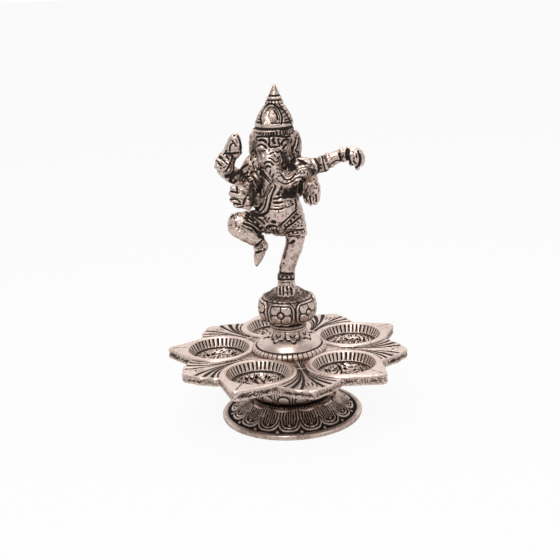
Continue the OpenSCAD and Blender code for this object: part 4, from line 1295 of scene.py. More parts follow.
def dots(half, depth, *places, shade=GROOVE_DARK):
    """A row of drilled dots."""
    return [groove(half, depth, (x - DOT, y), (x + DOT, y), shade=shade) for x, y in places]


# %% Face and ears
FACE = [
    # A broad dark patch beside the trunk: patina in the hollow and painted shade where the trunk shades the
    # cheek.
    groove(4.6, 0.3, (292, 156), (291.5, 162), (292.5, 168.5), shade=0.60),
    groove(1.4, 0.6, (257, 136.8), (263, 136.4), (268.5, 136.6), (274, 136), (280, 136.4), (286, 136.9),
           (290, 136.4)),
    raised(1.0, 0.30, (258, 139), (261, 138), (264.4, 138.4), (266.6, 139.8)),
    groove(1.25, 0.50, (258, 141.2), (260.4, 140), (263.5, 140), (265.9, 141.9)),
    raised(0.9, 0.25, (258.2, 142.9), (261.6, 142.3), (266, 144.2)),
    groove(1.35, 0.55, (258.2, 145.8), (259.8, 144.7), (262.3, 144.9), (264.8, 146.1), (266, 147.9)),
    raised(1.2, 0.30, (258.8, 147.6), (261.8, 147.4), (265.2, 149)),
    groove(0.8, 0.20, (259, 149.8), (261.8, 151.4), (264.8, 150.6), shade=0.5),
    raised(1.5, 0.22, (261.8, 153), (262.4, 157), (262.8, 160.6), shade=-0.7),
    groove(1.1, 0.55, (268.8, 137.6), (269.4, 141.6), (269, 144.8), (270, 146.6)),
    groove(1.15, 0.55, (269.2, 146.2), (271.4, 147.4), (273.6, 146.6), (276, 146.7), (279, 146.4),
           (279.8, 143.4)),
    groove(1.6, 0.65, (273.7, 138.8), (272.9, 141), (274.4, 143.2)),
    groove(0.9, 0.45, (277.6, 139.4), (278.6, 141.8), (279.5, 145.2)),
    groove(0.8, 0.35, (278.3, 138.6), (280.2, 139.4)),
    raised(0.9, 0.30, (271, 139), (270.9, 144.4)),
    raised(0.9, 0.35, (276.2, 140), (276.8, 144)),
    groove(1.35, 0.55, (281.9, 145.2), (282.3, 142.3), (284.1, 140.1), (287.3, 139.4), (289.4, 140.3)),
    groove(1.5, 0.60, (283, 148.8), (284.7, 146.4), (286.2, 144.9), (289.3, 144.8)),
    groove(1.2, 0.45, (284.2, 150.8), (286.6, 153), (288.8, 151.2)),
    raised(0.9, 0.30, (283.6, 149.8), (286.4, 148), (289.2, 148.2)),
    groove(1.05, 0.45, (270.4, 153.7), (273.6, 152.5)),
    groove(1.15, 0.45, (275.6, 151), (277.9, 152.3), (280.2, 151)),
    groove(0.85, 0.35, (274.3, 154.8), (275.8, 156.8)),
    groove(1.05, 0.50, (277.2, 158.8), (279, 156.9), (281.6, 156.9), (283, 158.8), (283, 161.2)),
    groove(0.95, 0.45, (279.3, 159), (278.7, 161), (276.4, 162.1)),
    groove(0.95, 0.45, (269.2, 158.4), (271.6, 159), (273.6, 160.3), (275, 161.9)),
    groove(1.25, 0.60, (264, 164), (265.4, 162.3), (267.9, 161.8), (271, 162.8), (273, 164.6)),
    groove(1.5, 0.65, (266, 167), (267.9, 166.3), (269.8, 167)),
    raised(1.3, 0.40, (267, 169.4), (267.8, 172.3), (267.8, 175)),
    groove(1.0, 0.50, (270.2, 170.6), (269.9, 172.6), (269.2, 175.6)),
    groove(1.05, 0.50, (273.6, 174.2), (271.5, 178)),
    groove(1.25, 0.75, (283.2, 162.6), (281, 166.6), (280.6, 170.4), (281.6, 174.1), (283.6, 177.4),
           (286.6, 179.4), (289.8, 179.1), (292.3, 177.3), (294.1, 174.1), (294.6, 171)),
    raised(0.9, 0.35, (284.2, 163.8), (282.6, 168), (282.7, 172.6), (284.8, 175.8), (288, 177.2), (291, 176)),
    groove(1.0, 0.55, (285.3, 164.4), (284.3, 168.4), (284.8, 172.2), (287, 174.6), (290, 174)),
    raised(1.1, 0.30, (287, 166.4), (287.3, 171.6)),
    groove(0.95, 0.55, (276.2, 178.3), (278.4, 181), (281.6, 182.9), (284.8, 184.1), (289.1, 183.3),
           (292.3, 181.3), (296, 178.5), (299.1, 177.3), (303.5, 177.5), (308.8, 177.6)),
    raised(0.9, 0.30, (279, 183.6), (283, 185.6), (287.6, 186), (292.2, 184), (296.6, 180.8), (301, 179.2)),
    groove(0.55, 0.22, (276.6, 165), (279.8, 165.4)),
    groove(0.55, 0.22, (276.4, 168.6), (279.6, 169.2)),
    groove(0.55, 0.22, (276.8, 172.4), (280, 173)),
    groove(0.55, 0.22, (278, 176.2), (281.2, 175.8)),
    groove(0.6, 0.25, (282.6, 181.4), (284, 179.2)),
    groove(0.6, 0.25, (287, 182), (287.4, 180.4)),
    groove(0.6, 0.25, (291.2, 180.6), (290.6, 179)),
    groove(0.8, 0.40, (296, 175.4), (295.2, 172), (297.4, 171.4), (297.8, 174)),
    groove(0.9, 0.45, (300.2, 171.2), (301.6, 173.8)),
    groove(1.0, 0.50, (302.6, 170.8), (304.2, 173)),
    groove(0.7, 0.35, (305.6, 169.8), (307.6, 172.6), (307.2, 175)),
    raised(0.9, 0.35, (299.4, 170.2), (303.2, 168.6), (306.6, 169.6), (308.8, 173)),
    groove(1.0, 0.55, (253.6, 134), (254, 140.4), (254.8, 145.4), (253.2, 149.4)),
    groove(0.9, 0.45, (250.8, 157), (250.6, 160)),
    groove(1.4, 0.15, (256.9, 138), (256.2, 144), (256.4, 150), (257.4, 157), shade=0.52),
    groove(1.3, 0.60, (293.5, 130), (294.1, 133.3), (296, 137.3), (295.4, 141.6), (293.5, 146.6),
           (292.3, 152)),
    groove(1.15, 0.55, (299.1, 137.6), (297.9, 142.3), (297.3, 146.6), (295.6, 150.4), (298, 152.4)),
    groove(1.5, 0.60, (297.6, 151.8), (299.4, 152.8)),
    raised(0.8, 0.30, (297.4, 136.6), (296.9, 141), (296, 145.6), (294.6, 149.6)),
    groove(1.2, 0.45, (291.6, 139), (291.2, 144), (291.6, 149), (290.4, 154), shade=0.8),
    groove(1.25, 0.60, (298.3, 159.7), (302.3, 161), (306.4, 163.7)),
    groove(1.1, 0.55, (261, 163.5), (264.1, 173.5), (269.1, 179.1), (273.5, 182.3), (275.4, 185.6)),
    groove(0.8, 0.40, (257.6, 164), (261, 171.4), (264.4, 177), (269, 182)),
    groove(0.8, 0.35, (252.4, 163), (254.6, 170), (258.4, 176), (262.8, 181)),
] + dots(0.75, 0.35, (251.6, 138.5), (251.8, 141.4), (251.6, 144.2), (251.8, 147), (251.6, 151.4),
         (251.8, 155))

BODY = [
    # Three broad dark patches on the chest and torso: patina and painted shade.
    groove(3.4, 0.3, (256.4, 190), (255.6, 198), (255.4, 206), shade=0.70),
    groove(3.0, 0.3, (297, 192), (300, 187.4), (303.4, 184.6), shade=0.85),
    groove(3.0, 0.3, (292.6, 194.4), (288, 193.6), (284, 194.6), shade=0.70),
    groove(1.3, 0.65, (275.4, 186.6), (274.6, 189), (272.4, 193.6), (271, 198.4), (270.1, 203),
           (269.1, 207.5), (267.3, 211.9), (263.5, 214.4), (258.5, 215.6), (252.3, 215)),
    groove(1.0, 0.55, (272, 187), (269.8, 191), (266.9, 196.6), (266, 201.3), (264.8, 206.3), (262.3, 210),
           (258.5, 213.1), (253.5, 213.1)),
    groove(1.0, 0.55, (269.1, 185.4), (266.6, 189.8), (264.8, 194), (264.1, 198.8), (262.9, 203.8),
           (260.4, 207.5), (257.3, 210.3), (253.5, 210.6)),
    raised(0.8, 0.30, (270.8, 189.4), (268.4, 196), (267.4, 203), (265.6, 209), (261.6, 213.2)),
    raised(0.8, 0.30, (267.6, 189), (265.6, 195.4), (264.2, 203), (260.8, 209.4), (256, 212)),
    raised(0.8, 0.30, (262.2, 189.4), (262, 196), (260.6, 201.6), (257.4, 206.6)),
    groove(1.4, 0.65, (274, 198.9), (277.9, 198.2), (281, 196.9), (284.8, 197.6), (288.4, 196.4),
           (293, 197.4)),
    raised(0.9, 0.35, (272.6, 200.6), (281, 200.5), (288, 199.4), (293.6, 200.2)),
    groove(1.05, 0.45, (273.4, 202.9), (279.8, 202.9), (282.6, 202)),
    raised(0.8, 0.25, (273.2, 204.6), (279.6, 204.6), (284.4, 203.4)),
    groove(0.7, 0.25, (274.6, 206.5), (279.4, 206.5), shade=0.7),
    groove(1.15, 0.50, (270.8, 209.1), (276, 209.5), (279.8, 209.2), (283, 208.4)),
    groove(0.7, 0.30, (284, 207.8), (289, 206.6), (294, 203.6), shade=0.75),
    groove(1.2, 0.45, (295.4, 199.6), (296.4, 204), (295.8, 208.6), shade=0.8),
    groove(1.9, 0.95, (272.2, 221.7), (274.7, 222.3)),
    groove(1.0, 0.30, (268.4, 219), (269.2, 217.8)),
    groove(0.6, 0.20, (278.2, 210.8), (278.8, 212.4), shade=0.7),
    groove(1.15, 0.60, (297, 209.8), (294.8, 211.9), (291.6, 215), (288.5, 218.1), (284.8, 221.3),
           (281, 225)),
    groove(1.35, 0.65, (302.5, 215.4), (299.1, 218.1), (295.4, 221.3), (292.3, 223.8), (288.5, 226.3),
           (284.8, 229.1)),
    groove(1.2, 0.55, (246, 215.6), (251, 219.4), (256, 223.6), (260.6, 229.4), (265, 232)),
    groove(1.2, 0.55, (256.4, 217.4), (260.6, 220), (264.8, 224)),
    groove(1.0, 0.50, (246, 211.6), (248.6, 213.6), (251.2, 218)),
    groove(1.1, 0.50, (266.4, 228.4), (267.9, 226.3), (271, 225.6), (275.4, 226.3), (278.5, 228.8)),
    groove(1.2, 0.55, (268.8, 231.6), (271, 230.4), (273.4, 231.6)),
    groove(1.1, 0.50, (276, 229.8), (277.6, 231.6), (278.4, 233)),
    groove(1.0, 0.45, (264.6, 234.4), (269, 236), (275, 236.6), (280, 235.2), shade=0.8),
    groove(0.9, 0.40, (285.4, 231.3), (288.5, 230.3), (292.3, 229.4), (296, 230), (300.4, 229.7),
           (304.1, 229.1)),
    groove(0.9, 0.40, (286, 235.6), (290.4, 236.3), (296, 236.2), (300, 235.6), shade=0.85),
    # A shallow dimple at the knee, with painted shade round it.
    groove(2.3, 0.35, (291.2, 243), (293.8, 241.6), shade=0.50),
    groove(2.0, 0.20, (292.4, 246.4), (293.6, 245), shade=0.35),
    groove(1.8, 0.10, (286, 237), (287.6, 242.5), (285.6, 250), (283.8, 258), shade=0.50),
    groove(1.7, 0.80, (244, 223.6), (248.4, 225.2), (252.3, 227), (256.6, 230.6), (259.3, 234.6)),
    groove(0.85, 0.40, (246, 220.4), (250.4, 222.5), (255.4, 225.6), (259.8, 229.4)),
    raised(0.9, 0.35, (245, 221.8), (250.6, 224.2), (255.8, 227.4), (260, 232)),
    # A dip with painted shadow in the gap under the crossed leg's thigh.
    groove(3.0, 0.4, (260.4, 236), (263.4, 236.4), shade=0.90),
    groove(1.45, 0.65, (255.2, 246.4), (260.4, 242.6), (263.7, 238.8)),
    groove(1.15, 0.55, (255.8, 252.8), (260.4, 251.6), (265, 249.3)),
    groove(0.6, 0.3, (279.2, 288), (279.4, 294.6)),
    groove(0.6, 0.3, (283.6, 288.6), (283.8, 295.4)),
    groove(0.6, 0.3, (288, 288.4), (288.4, 295)),
    groove(0.6, 0.3, (292, 287.6), (292.6, 293.6)),
] + dots(0.95, 0.40, (282.9, 205.9), (285.7, 205.9), (289.1, 204.4), (292.3, 203.4)) \
  + dots(1.05, 0.50, (301.3, 219.1), (298.2, 222.2), (301.6, 222.8), (295.4, 224.7), (298.5, 225.9),
         (301.6, 225.6), (293.2, 226.9)) \
  + dots(0.95, 0.45, (289.1, 233.8), (293.5, 233.1), (297.3, 233.1), (299.8, 232.8), (257.9, 245.6),
         (261.3, 245), (262.3, 246.9), (264.1, 243.1), (258.5, 248.8), (291.2, 223.3), (294, 217.4),
         (296.6, 214.8)) \
  + dots(1.05, 0.50, (269.1, 230), (270.4, 231.9), (273.5, 229.1), (277.3, 231.9), (247.4, 218.6),
         (252.4, 216.4), (253.6, 222.8), (257, 226), (259.4, 219.4), (262, 227.6))

HANDS = [
    groove(1.15, 0.50, (238.2, 136.3), (240, 141), (241.3, 147.9), (241.4, 153.6)),
    groove(1.1, 0.55, (232.4, 143.6), (230.4, 145.2), (229.6, 147.9), (229.8, 150.6)),
    groove(0.9, 0.45, (231.9, 140.5), (234.1, 142.9), (236.2, 146.4)),
    groove(0.9, 0.35, (233.8, 135.6), (235, 135.3)),
    raised(1.0, 0.30, (232, 138.6), (236, 138), (238.4, 142.6), (238.6, 147.6)),
    groove(1.0, 0.45, (223.4, 154.4), (226.4, 150.6), shade=0.85),
    groove(1.3, 0.55, (226.4, 153.6), (232.3, 153.6), (238.6, 152.8)),
    groove(1.5, 0.60, (219.2, 156.8), (221.4, 158.2)),
    groove(1.5, 0.60, (226.4, 156.2), (228.2, 158.8)),
    groove(1.1, 0.45, (233, 156.4), (232, 160), (234.6, 162.9), (233.8, 166), (234.1, 169.4)),
    groove(1.1, 0.50, (218.6, 163.2), (221.2, 165.7)),
    groove(0.9, 0.45, (221.4, 158.8), (224.1, 161), (225.4, 162.9), (227.5, 164.3)),
    groove(0.8, 0.35, (216.2, 160.8), (218.4, 162), shade=0.7),
    groove(1.5, 0.65, (230.6, 163), (229.1, 166), (227.3, 169.1), (224.6, 172.7)),
    groove(2.4, 0.50, (226.6, 176.4), (230.4, 175.6), (234, 172)),
    groove(2.2, 0.55, (230.6, 180), (232.9, 176.6), (236.4, 173.8), (241, 172.6)),
    groove(1.5, 0.60, (230.2, 181.4), (232.9, 183.2), (236.4, 181)),
    groove(1.6, 0.50, (239.6, 170.2), (243.5, 166.8), (246.8, 164.8)),
    groove(1.2, 0.50, (240.6, 176), (244, 174.2), (247.6, 172.4), shade=0.85),
    groove(1.35, 0.55, (247.4, 179.4), (249.4, 181.8), (252.4, 180.6)),
    groove(1.5, 0.60, (252.2, 176), (254.8, 178.8), (256.2, 183)),
    raised(1.0, 0.40, (253, 180.6), (255, 184.4), (256.4, 188)),
    raised(0.9, 0.30, (248.6, 178.4), (251.2, 177.6)),
    groove(1.0, 0.45, (236.5, 185.4), (237.3, 191)),
    groove(1.0, 0.50, (230.4, 191.6), (233.5, 191.9), (237.4, 192.9)),
    groove(1.15, 0.55, (230.2, 199.4), (234.8, 199.4), (237.3, 200), (240, 202.4)),
    groove(1.15, 0.55, (231.6, 204.8), (234.8, 203.8), (237.3, 204.1), (240.4, 204.8)),
    groove(1.1, 0.50, (235.2, 208.9), (238.5, 208.2), (243, 206.6)),
    groove(1.35, 0.60, (243.4, 204.2), (244.1, 200.6), (245.8, 197.8)),
    groove(1.2, 0.50, (246.8, 195.6), (248.8, 195.2)),
    raised(1.1, 0.35, (247.7, 197.6), (248.2, 197.6)),
    raised(2.8, 0.35, (247.8, 202), (248, 203.4), shade=-0.15),
    groove(1.2, 0.50, (230, 218.6), (231.6, 216.6), (234.1, 214.9), (237.6, 213.6)),
    groove(0.9, 0.35, (236.2, 225.4), (236.4, 226)),
    groove(0.7, 0.25, (238.2, 227.4), (240, 228.2), shade=0.7),
    raised(0.9, 0.25, (240.4, 226.4), (244.8, 228.9), (249.8, 231.6)),
    groove(1.25, 0.55, (245.2, 217.8), (248.7, 221.5)),
    groove(1.5, 0.40, (300, 160.4), (303.8, 163), (306.9, 165), (310.6, 167.6), (312.8, 170.4)),
    # A broad dark patch where the right arm meets the body: patina and painted shade.
    groove(2.6, 0.40, (312.6, 168), (313.6, 174), shade=0.85),
    groove(1.25, 0.50, (314.4, 158), (316.9, 161.9), (318.1, 165), (318.8, 169.6), (318.1, 172.6)),
    groove(1.2, 0.50, (319.3, 165), (320.4, 165.2)),
    groove(1.2, 0.50, (320.2, 168), (321, 168.6)),
    raised(1.1, 0.30, (320.6, 157.8), (321.4, 161), (320, 163.8)),
    groove(1.0, 0.45, (321.9, 156.6), (323.1, 160.6), (323.8, 165), (325.2, 170.6)),
    groove(0.9, 0.30, (340, 160.6), (336.9, 160.6), (333.8, 161.9), (330.4, 164.6), shade=0.62),
    groove(0.9, 0.30, (320.6, 172.4), (325, 171.2), (331.3, 169.3), (336, 167), shade=0.75),
    groove(1.25, 0.55, (339, 153.2), (340, 156.9), (341.3, 160.6), (341.7, 164)),
    raised(0.9, 0.30, (341.4, 152.6), (343.6, 152.2)),
    raised(0.9, 0.30, (342.6, 158.6), (344, 160.4), (343.8, 162.6)),
    groove(2.5, 0.70, (347.8, 150.6), (346.8, 154.4), (347.8, 158), (349.6, 162.4)),
    groove(0.9, 0.40, (353.6, 161), (355.8, 164)),
    groove(0.9, 0.35, (351.4, 163.6), (354, 166.2), shade=0.75),
    groove(1.5, 0.60, (358.4, 151.6), (360, 156.3), (360.3, 160.6), (358.8, 165), (356.4, 167.4)),
    groove(1.0, 0.35, (356, 154), (356.6, 158), shade=0.6),
    groove(1.5, 0.60, (308.8, 180.9), (310.2, 181)),
    groove(1.0, 0.40, (308, 185.4), (306.3, 189.4), (305.6, 193.1), shade=0.75),
    groove(1.35, 0.55, (304.8, 193.4), (305.8, 194.3)),
    groove(4.6, 0.30, (311, 188.6), (311.6, 193), shade=0.36),
    raised(0.9, 0.30, (308.4, 183), (305.6, 187.4), (304.6, 191.6)),
    raised(1.0, 0.30, (312.8, 183), (315.4, 186)),
    groove(1.35, 0.55, (309.9, 196.7), (310, 199.4), (311, 203.4)),
    groove(1.35, 0.55, (316, 195.2), (316.3, 199.4), (316.2, 201.4)),
    groove(1.0, 0.35, (306, 197), (306.6, 201), shade=0.62),
    groove(0.9, 0.35, (313, 177.6), (315, 181.2), (316.6, 185), shade=0.7),
    groove(1.2, 0.45, (277.8, 272), (282.5, 273.2), (287.5, 273.8), (293.4, 273.4)),
    groove(1.2, 0.45, (277.8, 278.9), (282.5, 280), (287.5, 279.8), (293.6, 279.3)),
    groove(1.0, 0.50, (279.9, 286.8), (280.4, 294.6)),
    groove(1.0, 0.50, (283.1, 286.6), (283.2, 294.8)),
    groove(1.0, 0.50, (286.9, 286.8), (287.8, 294.8)),
    groove(1.0, 0.50, (290.5, 287.8), (291.6, 294.6)),
    groove(2.6, 0.15, (279.6, 262), (279.4, 270), (279.8, 278), shade=0.45),
] + dots(1.05, 0.45, (220.7, 168.4), (223.8, 167.6), (311.9, 185.3), (314.4, 188.1), (316.6, 188.1),
         (343.1, 155), (342.5, 156.9), (344.6, 158), (283.1, 276.4), (286.9, 277), (290.6, 276.9),
         (280, 275.6), (283.5, 263.6), (252, 172), (247.4, 171.6), (250.6, 166.4), (253.6, 162))

# Broad dark patches on the skin. The first four fill the belts and the anklet between their beads with patina.
# The others are patina and painted shade, where shade falls on the chest and torso, beside the trunk, under
# and round the arms, round the hips and on the face and the sides of the head. The last, on the nose bridge,
# is painted shade that tones down the key lamp's highlight there.
SHADE_AND_PATINA_PATCHES = [groove(half, 0.0, *line, shade=shade) for half, shade, line in (
    (2.2, 0.70, ((297.4, 214), (283.6, 227.6))), (2.6, 0.70, ((247, 215.4), (255, 221.4), (263, 230))),
    (2.6, 0.62, ((278.6, 276.8), (293.6, 276.6))), (2.6, 0.60, ((286, 233.2), (303, 232))),
    (8.5, 0.62, ((255.5, 186), (255, 203))), (6.5, 0.80, ((300, 185.5), (298, 194))),
    (5.5, 0.62, ((288, 193), (294, 194))), (6.0, 0.50, ((236, 176), (246, 177))),
    (6.0, 0.55, ((291, 158), (291, 168))), (5.0, 0.45, ((310, 167), (313, 174))),
    (6.0, 0.42, ((252, 216), (260, 223))), (5.0, 0.70, ((262, 235), (266, 236))),
    (8.0, 0.42, ((266, 232), (280, 232))), (4.0, 0.42, ((252, 136), (252.5, 156))),
    (4.5, 0.42, ((297, 136), (296, 152))), (3.5, 0.35, ((258, 153), (260, 164))),
    (3.0, 0.40, ((288.6, 142), (288.4, 152))), (4.0, 0.35, ((247, 166), (251, 170))),
    (5.5, 0.40, ((246, 190), (248, 194))), (4.0, 0.40, ((229, 157), (233, 160))),
    (4.2, 0.62, ((302, 163), (311, 170))), (3.4, 0.45, ((258, 177), (262, 184))),
    (5.0, 0.48, ((257, 168), (262, 180))), (5.0, 0.72, ((286, 155), (287, 166))),
    (8.0, 0.95, ((297, 187), (301, 193))), (3.8, 0.30, ((269.6, 147), (270.4, 156))))]

# %% [markdown]
# The back isn't in the photograph. It has what the front leads to, seen straight from behind at the same
# scale: a plait, hair, the sash, the belt and the folds of the cloth.

# %% Back and beads
BACK = [
    raised(2.6, 0.55, (284.5, 138), (284.5, 150), (285, 162), shade=0.0),
    *[groove(0.8, 0.40, (282.4, y), (284.6, y + 2), (286.8, y)) for y in range(137, 162, 3)],
    *[groove(0.7, 0.30, (x, 124), (x + 0.8, 129), (x, 135), shade=0.8)
      for x in (272.6, 276.6, 280.4, 288.6, 292.4, 296.2)],
    groove(0.9, 0.40, (268, 143), (277, 151), (290, 164), (303, 178)),
    groove(0.9, 0.40, (272.6, 141), (281, 148.6), (294, 161.4), (305, 172)),
    *[groove(0.7, 0.25, (271 + 4 * k, 142.6 + 4.1 * k), (269 + 4 * k, 145 + 4.1 * k), shade=0.7)
      for k in range(8)],
    *[groove(0.7, 0.30, (x, 181), (x, 184)) for x in range(266, 303, 3)],
    groove(0.9, 0.35, (268.3, 190), (269, 202), (272, 213)),
    groove(0.9, 0.35, (274, 191), (275.4, 203), (277.4, 214)),
    groove(0.9, 0.35, (280.6, 191.6), (281.4, 204), (282, 216)),
    groove(0.9, 0.35, (287, 191.6), (287, 204), (287, 216.4)),
    groove(0.9, 0.35, (293.4, 191), (292.6, 203), (291.4, 215)),
    groove(0.9, 0.35, (299.4, 190), (298.4, 201), (296.4, 211)),
    groove(0.8, 0.30, (306, 191.6), (313, 196), (318, 202)),
    groove(0.8, 0.30, (313, 189.4), (320, 193), (325, 198.6)),
    groove(0.9, 0.40, (261.1, 117.5), (258.5, 130.3), (260.3, 139)),
    groove(0.9, 0.40, (305.2, 119.3), (306.4, 128), (306, 135.4)),
    groove(0.8, 0.35, (215, 137), (214, 142), (216, 147)),
    groove(0.8, 0.35, (327, 128), (333, 130.4)),
    groove(0.8, 0.35, (325, 134), (331, 137)),
]
BEADS = [(297.6, 213.2), (295.2, 216.2), (292, 219.2), (288.8, 222.2), (286, 225), (283, 227.8),
         (249.8, 217.2), (255.4, 221.6), (260, 225.4), (262.8, 229), (271.4, 228.4), (274.6, 228),
         (267.6, 229.4), (266.6, 232.8), (270.4, 234), (274.4, 233.4), (277.6, 229), (280.2, 231.4),
         (281.4, 277), (285, 277.2), (288.8, 277.2), (292.2, 276.8), (295.8, 172.8), (299, 171.6),
         (302.2, 172.4), (305.6, 171.6), (259.6, 247), (263, 244.8), (257.4, 249.4), (262.2, 249),
         (287.2, 233.6), (291.2, 233.2), (295.4, 232.4), (299, 232.2), (302.2, 231.6), (342.6, 153.6),
         (343.8, 157), (343, 160.4), (257, 166), (255.6, 169.6), (251.6, 168.6), (248.8, 174.4)]
print("strokes:", len(FACE), len(BODY), len(HANDS), len(SHADE_AND_PATINA_PATCHES), len(BACK), "beads:", len(BEADS))

# %% [markdown]
# ## The crown
# The crown is a tall cone in bands. From the bottom there is a headband with close ribs, a plain roll, a
# field with slanting borders and small leaves, a ring of beads, a second small roll and a plain tip. It is
# turned like the castings below, which gives the ribs and beads more points than the skin of the figure has,
# and then it is leaned and moved onto the head. The skin under it is drawn in, so it can't show through.

# %% Crown
CROWN_PLACE = (-0.0235 * FIGURE_H, -0.002 * FIGURE_H)
CROWN_SLOPE = 0.056
CROWN_FOOT = 0.765 * FIGURE_H
HEADBAND = (0.7705, 0.8035)
ROLL_GROOVE = 0.8115
FIELD = (0.833, 0.909)
BEAD_BAND = (0.909, 0.9275)
TIP = 0.9535
CROWN_SHARES = ((0, 0.762), (0.086, 0.762), (0.0895, 0.768), (0.0905, 0.775), (0.0900, 0.799),
                (0.0865, 0.805), (0.0845, 0.809), (0.0880, 0.813), (0.0895, 0.819), (0.0880, 0.826),
                (0.0850, 0.830), (0.0840, 0.834), (0.0775, 0.855), (0.0630, 0.880), (0.0500, 0.899),
                (0.0425, 0.909), (0.0360, 0.926), (0.0335, 0.9295), (0.0345, 0.933), (0.0335, 0.940),
                (0.0290, 0.943), (0.0270, 0.9475), (0.0250, 0.9525), (0.0125, 0.978), (0.002, 0.9995),
                (0, 1.0))


def crown_relief(angle, radius, height, at):
    share = (height - SOLE_Z) / FIGURE_H
    lift = np.zeros(len(angle))
    dark = np.where(share < HEADBAND[0], 0.92, 0.14)
    band = (share > HEADBAND[0]) & (share < HEADBAND[1])
    rib = smooth_step(np.abs(np.cos(21 * angle + 0.5 * np.sin(7 * angle))), 0.3, 0.95)
    edge = np.minimum(share - HEADBAND[0], HEADBAND[1] - share) * FIGURE_H
    ribs = rib * smooth_step(edge, 0.2, 0.9)
    lift = np.where(band, -0.50 + 0.60 * ribs, lift)
    dark = np.where(band, 0.95 - (0.50 + 0.16 * np.sin(9 * angle + 1)) * ribs, dark)
    dark = np.where((share > HEADBAND[1]) & (share < ROLL_GROOVE), 0.92, dark)
    dark = dark + 0.7 * ridge((share - 0.8315) * FIGURE_H, 0.35)
    field = (share > FIELD[0]) & (share < FIELD[1])
    run = (share - FIELD[0]) / (FIELD[1] - FIELD[0])
    aside = np.abs(fold(angle, 1, -math.pi / 2)) > 1.25
    side = fold(angle, 4, -math.pi / 2)
    border = np.abs(side) * radius - 0.50 * math.pi / 2 * radius * (1 - 0.25 * run)
    ladder = np.clip(1 - (np.abs(border) / 0.75) ** 4, 0, 1)
    rungs = np.abs(np.sin((share * FIGURE_H * 1.1 + side * 2.0) * math.pi / 0.85))
    lines = ridge(np.abs(border) - 0.95, 0.30)
    arch = np.hypot(side * radius / 2.6, (run - 0.30) * 2.2)
    arch_line = (ridge(arch - 0.62, 0.15) + ridge(arch - 0.95, 0.13)) * (border < -1.1)
    curls = np.sin(side * 26) * np.sin(run * 15) * (border > 1.1)
    on_side = field * aside
    lift = lift + on_side * (-0.35 * lines + ladder * (0.22 * rungs - 0.14) - 0.28 * arch_line + 0.16 * curls)
    dark = dark + on_side * (0.85 * lines + ladder * 0.7 * (1 - rungs) + 0.8 * arch_line + 0.3 * curls ** 2)
    bead_band = (share > BEAD_BAND[0]) & (share < BEAD_BAND[1])
    middle = (share - 0.918) * FIGURE_H
    beads = dome(np.hypot(fold(angle, 15) * radius, middle), 0.72)
    lift = np.where(bead_band, 0.45 * beads - 0.20, lift)
    dark = np.where(bead_band, 0.95 - 0.85 * beads, dark)
    ring_groove = ridge((share - 0.9295) * FIGURE_H, 0.30) + ridge((share - 0.9475) * FIGURE_H, 0.50)
    lift = lift - 0.15 * ring_groove
    dark = dark + 0.9 * ring_groove
    dark = np.where(share > TIP, 0.15, dark)
    return lift, dark


# %% Strokes on the crown
CROWN = [
    # A broad, slightly raised patch on the crown's front, duller and darker: painted shade that tones down the
    # key lamp's highlight.
    raised(6.5, 0.20, (271.6, 119), (271.6, 110), shade=0.26),
    groove(1.1, 0.50, (261.2, 124), (260.6, 117), (263, 109.6), (267.4, 105), (271.6, 103.6), (276.4, 106.4),
           (280.6, 112.4), (282.2, 118), (281.6, 124)),
    groove(0.65, 0.30, (264.2, 123.4), (263.8, 117), (265.8, 111.4), (269.4, 107.9), (272.2, 107.3),
           (276, 109.4), (278.8, 114), (279.8, 119), (279, 123.4), shade=0.8),
    groove(1.05, 0.45, (265.9, 121.7), (266.2, 115.4), (268.6, 111.5)),
    groove(1.05, 0.45, (274, 111), (276.6, 113.8), (277.8, 119.4)),
    groove(0.8, 0.35, (271.2, 119.4), (272.2, 119.4)),
    groove(0.9, 0.40, (279.4, 104.6), (284, 110.6), (288, 117), (291.4, 123.6)),
    groove(0.8, 0.35, (277.4, 106), (282, 110)),
    groove(0.8, 0.35, (282.4, 113.4), (286.4, 110.6)),
    groove(0.8, 0.35, (284, 117), (288.2, 114)),
    groove(0.9, 0.40, (285, 120), (289.8, 118.6)),
    groove(0.9, 0.40, (285, 123), (290.4, 122.6)),
    groove(0.8, 0.35, (280.4, 107.6), (283, 106.4)),
    groove(0.8, 0.35, (264.6, 104.6), (261, 109.4), (258, 116.4)),
    groove(0.8, 0.35, (259.4, 111.4), (261, 113.4)),
    groove(0.9, 0.40, (256.4, 118.4), (260, 119.6)),
    groove(0.9, 0.40, (255.8, 121.6), (260, 122.2)),
    groove(0.7, 0.30, (257.8, 114.6), (260.2, 116.6)),
]

# %% Turned and leaned crown
crown = turned("tall_crown", scaled(CROWN_SHARES, FIGURE_H, SOLE_Z, FIGURE_H), crown_relief)
add_wear(crown, fine=0.8, broad=0.6)
lean = Matrix.Translation((CROWN_PLACE[0] * MM, CROWN_PLACE[1] * MM, 0))
lean[0][2] = CROWN_SLOPE
lean[0][3] -= CROWN_SLOPE * (SOLE_Z + CROWN_FOOT) * MM
crown.data.transform(lean)
carve(crown, CROWN, read_patina(crown))
thin(crown)
dress(crown, "figure")

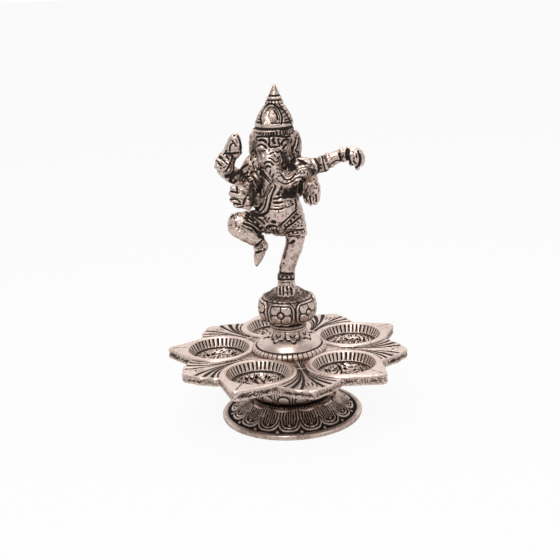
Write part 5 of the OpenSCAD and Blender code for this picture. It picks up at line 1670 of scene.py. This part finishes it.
# %% Draw the skin in under the crown
UNDER_FOOT, UNDER_BAND = (0.764, 0.35), (0.80, 3)
DRAWN_IN = 1.3
LEAST_SHARE = 0.3
TIP_UNDER, TIP_DRAWN = 0.93, 0.75

points, _ = read_points(skin)
axis_x = CROWN_PLACE[0] + CROWN_SLOPE * (points[:, 2] - SOLE_Z - CROWN_FOOT)
from_axis = np.hypot(points[:, 0] - axis_x, points[:, 1] - CROWN_PLACE[1])
up_share = (points[:, 2] - SOLE_Z) / FIGURE_H
crown_line = np.array(CROWN_SHARES[1:])
crown_radius = np.interp(up_share, crown_line[:, 1], crown_line[:, 0]) * FIGURE_H
under = np.zeros(len(points), dtype=bool)
for share, margin in (UNDER_FOOT, UNDER_BAND):
    under |= (up_share > share) & (from_axis < crown_radius + margin)
pull = np.where(under, np.clip(1 - DRAWN_IN / np.maximum(from_axis, 1e-3), LEAST_SHARE, 1), 1)
points[:, 0] = axis_x + (points[:, 0] - axis_x) * pull
points[:, 1] = CROWN_PLACE[1] + (points[:, 1] - CROWN_PLACE[1]) * pull
points[:, 2] -= np.where(up_share > TIP_UNDER, TIP_DRAWN * (up_share - TIP_UNDER) * FIGURE_H, 0)
move_points(skin, points)
print("points drawn in:", int(under.sum()))

# %% Carve the skin
BARE_DARK, UNDERSIDE_PAINTED_SHADE = 0.14, 0.16

points, normals = read_points(skin)
uneven = 0.09 * rough(points, 3.0, 31) + 0.045 * rough(points, 1.2, 32)
move_points(skin, points + normals * uneven[:, None])
_, normals = read_points(skin)
# The patina starts from an even base, darker on faces that look downwards: painted shade under the limbs and
# folds.
carve(skin, SHADE_AND_PATINA_PATCHES + FACE + BODY + HANDS, BARE_DARK + UNDERSIDE_PAINTED_SHADE * np.clip(-normals[:, 2], 0, 1))
carve(skin, BACK, read_patina(skin), seen_from_behind)
finish_piece(skin, "figure", broad=1.6, rounds=(3, 60))
dress(beads_on("jewel_beads", skin, BEADS, BEAD_R), "figure")

# %% Fasteners
STEEL = antique_silver("plated_steel_finish")
for name in ("tie_rod", "flat_washer", "lock_washer", "hex_nut"):
    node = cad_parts[name]
    node.data.materials.clear()
    node.data.materials.append(STEEL)
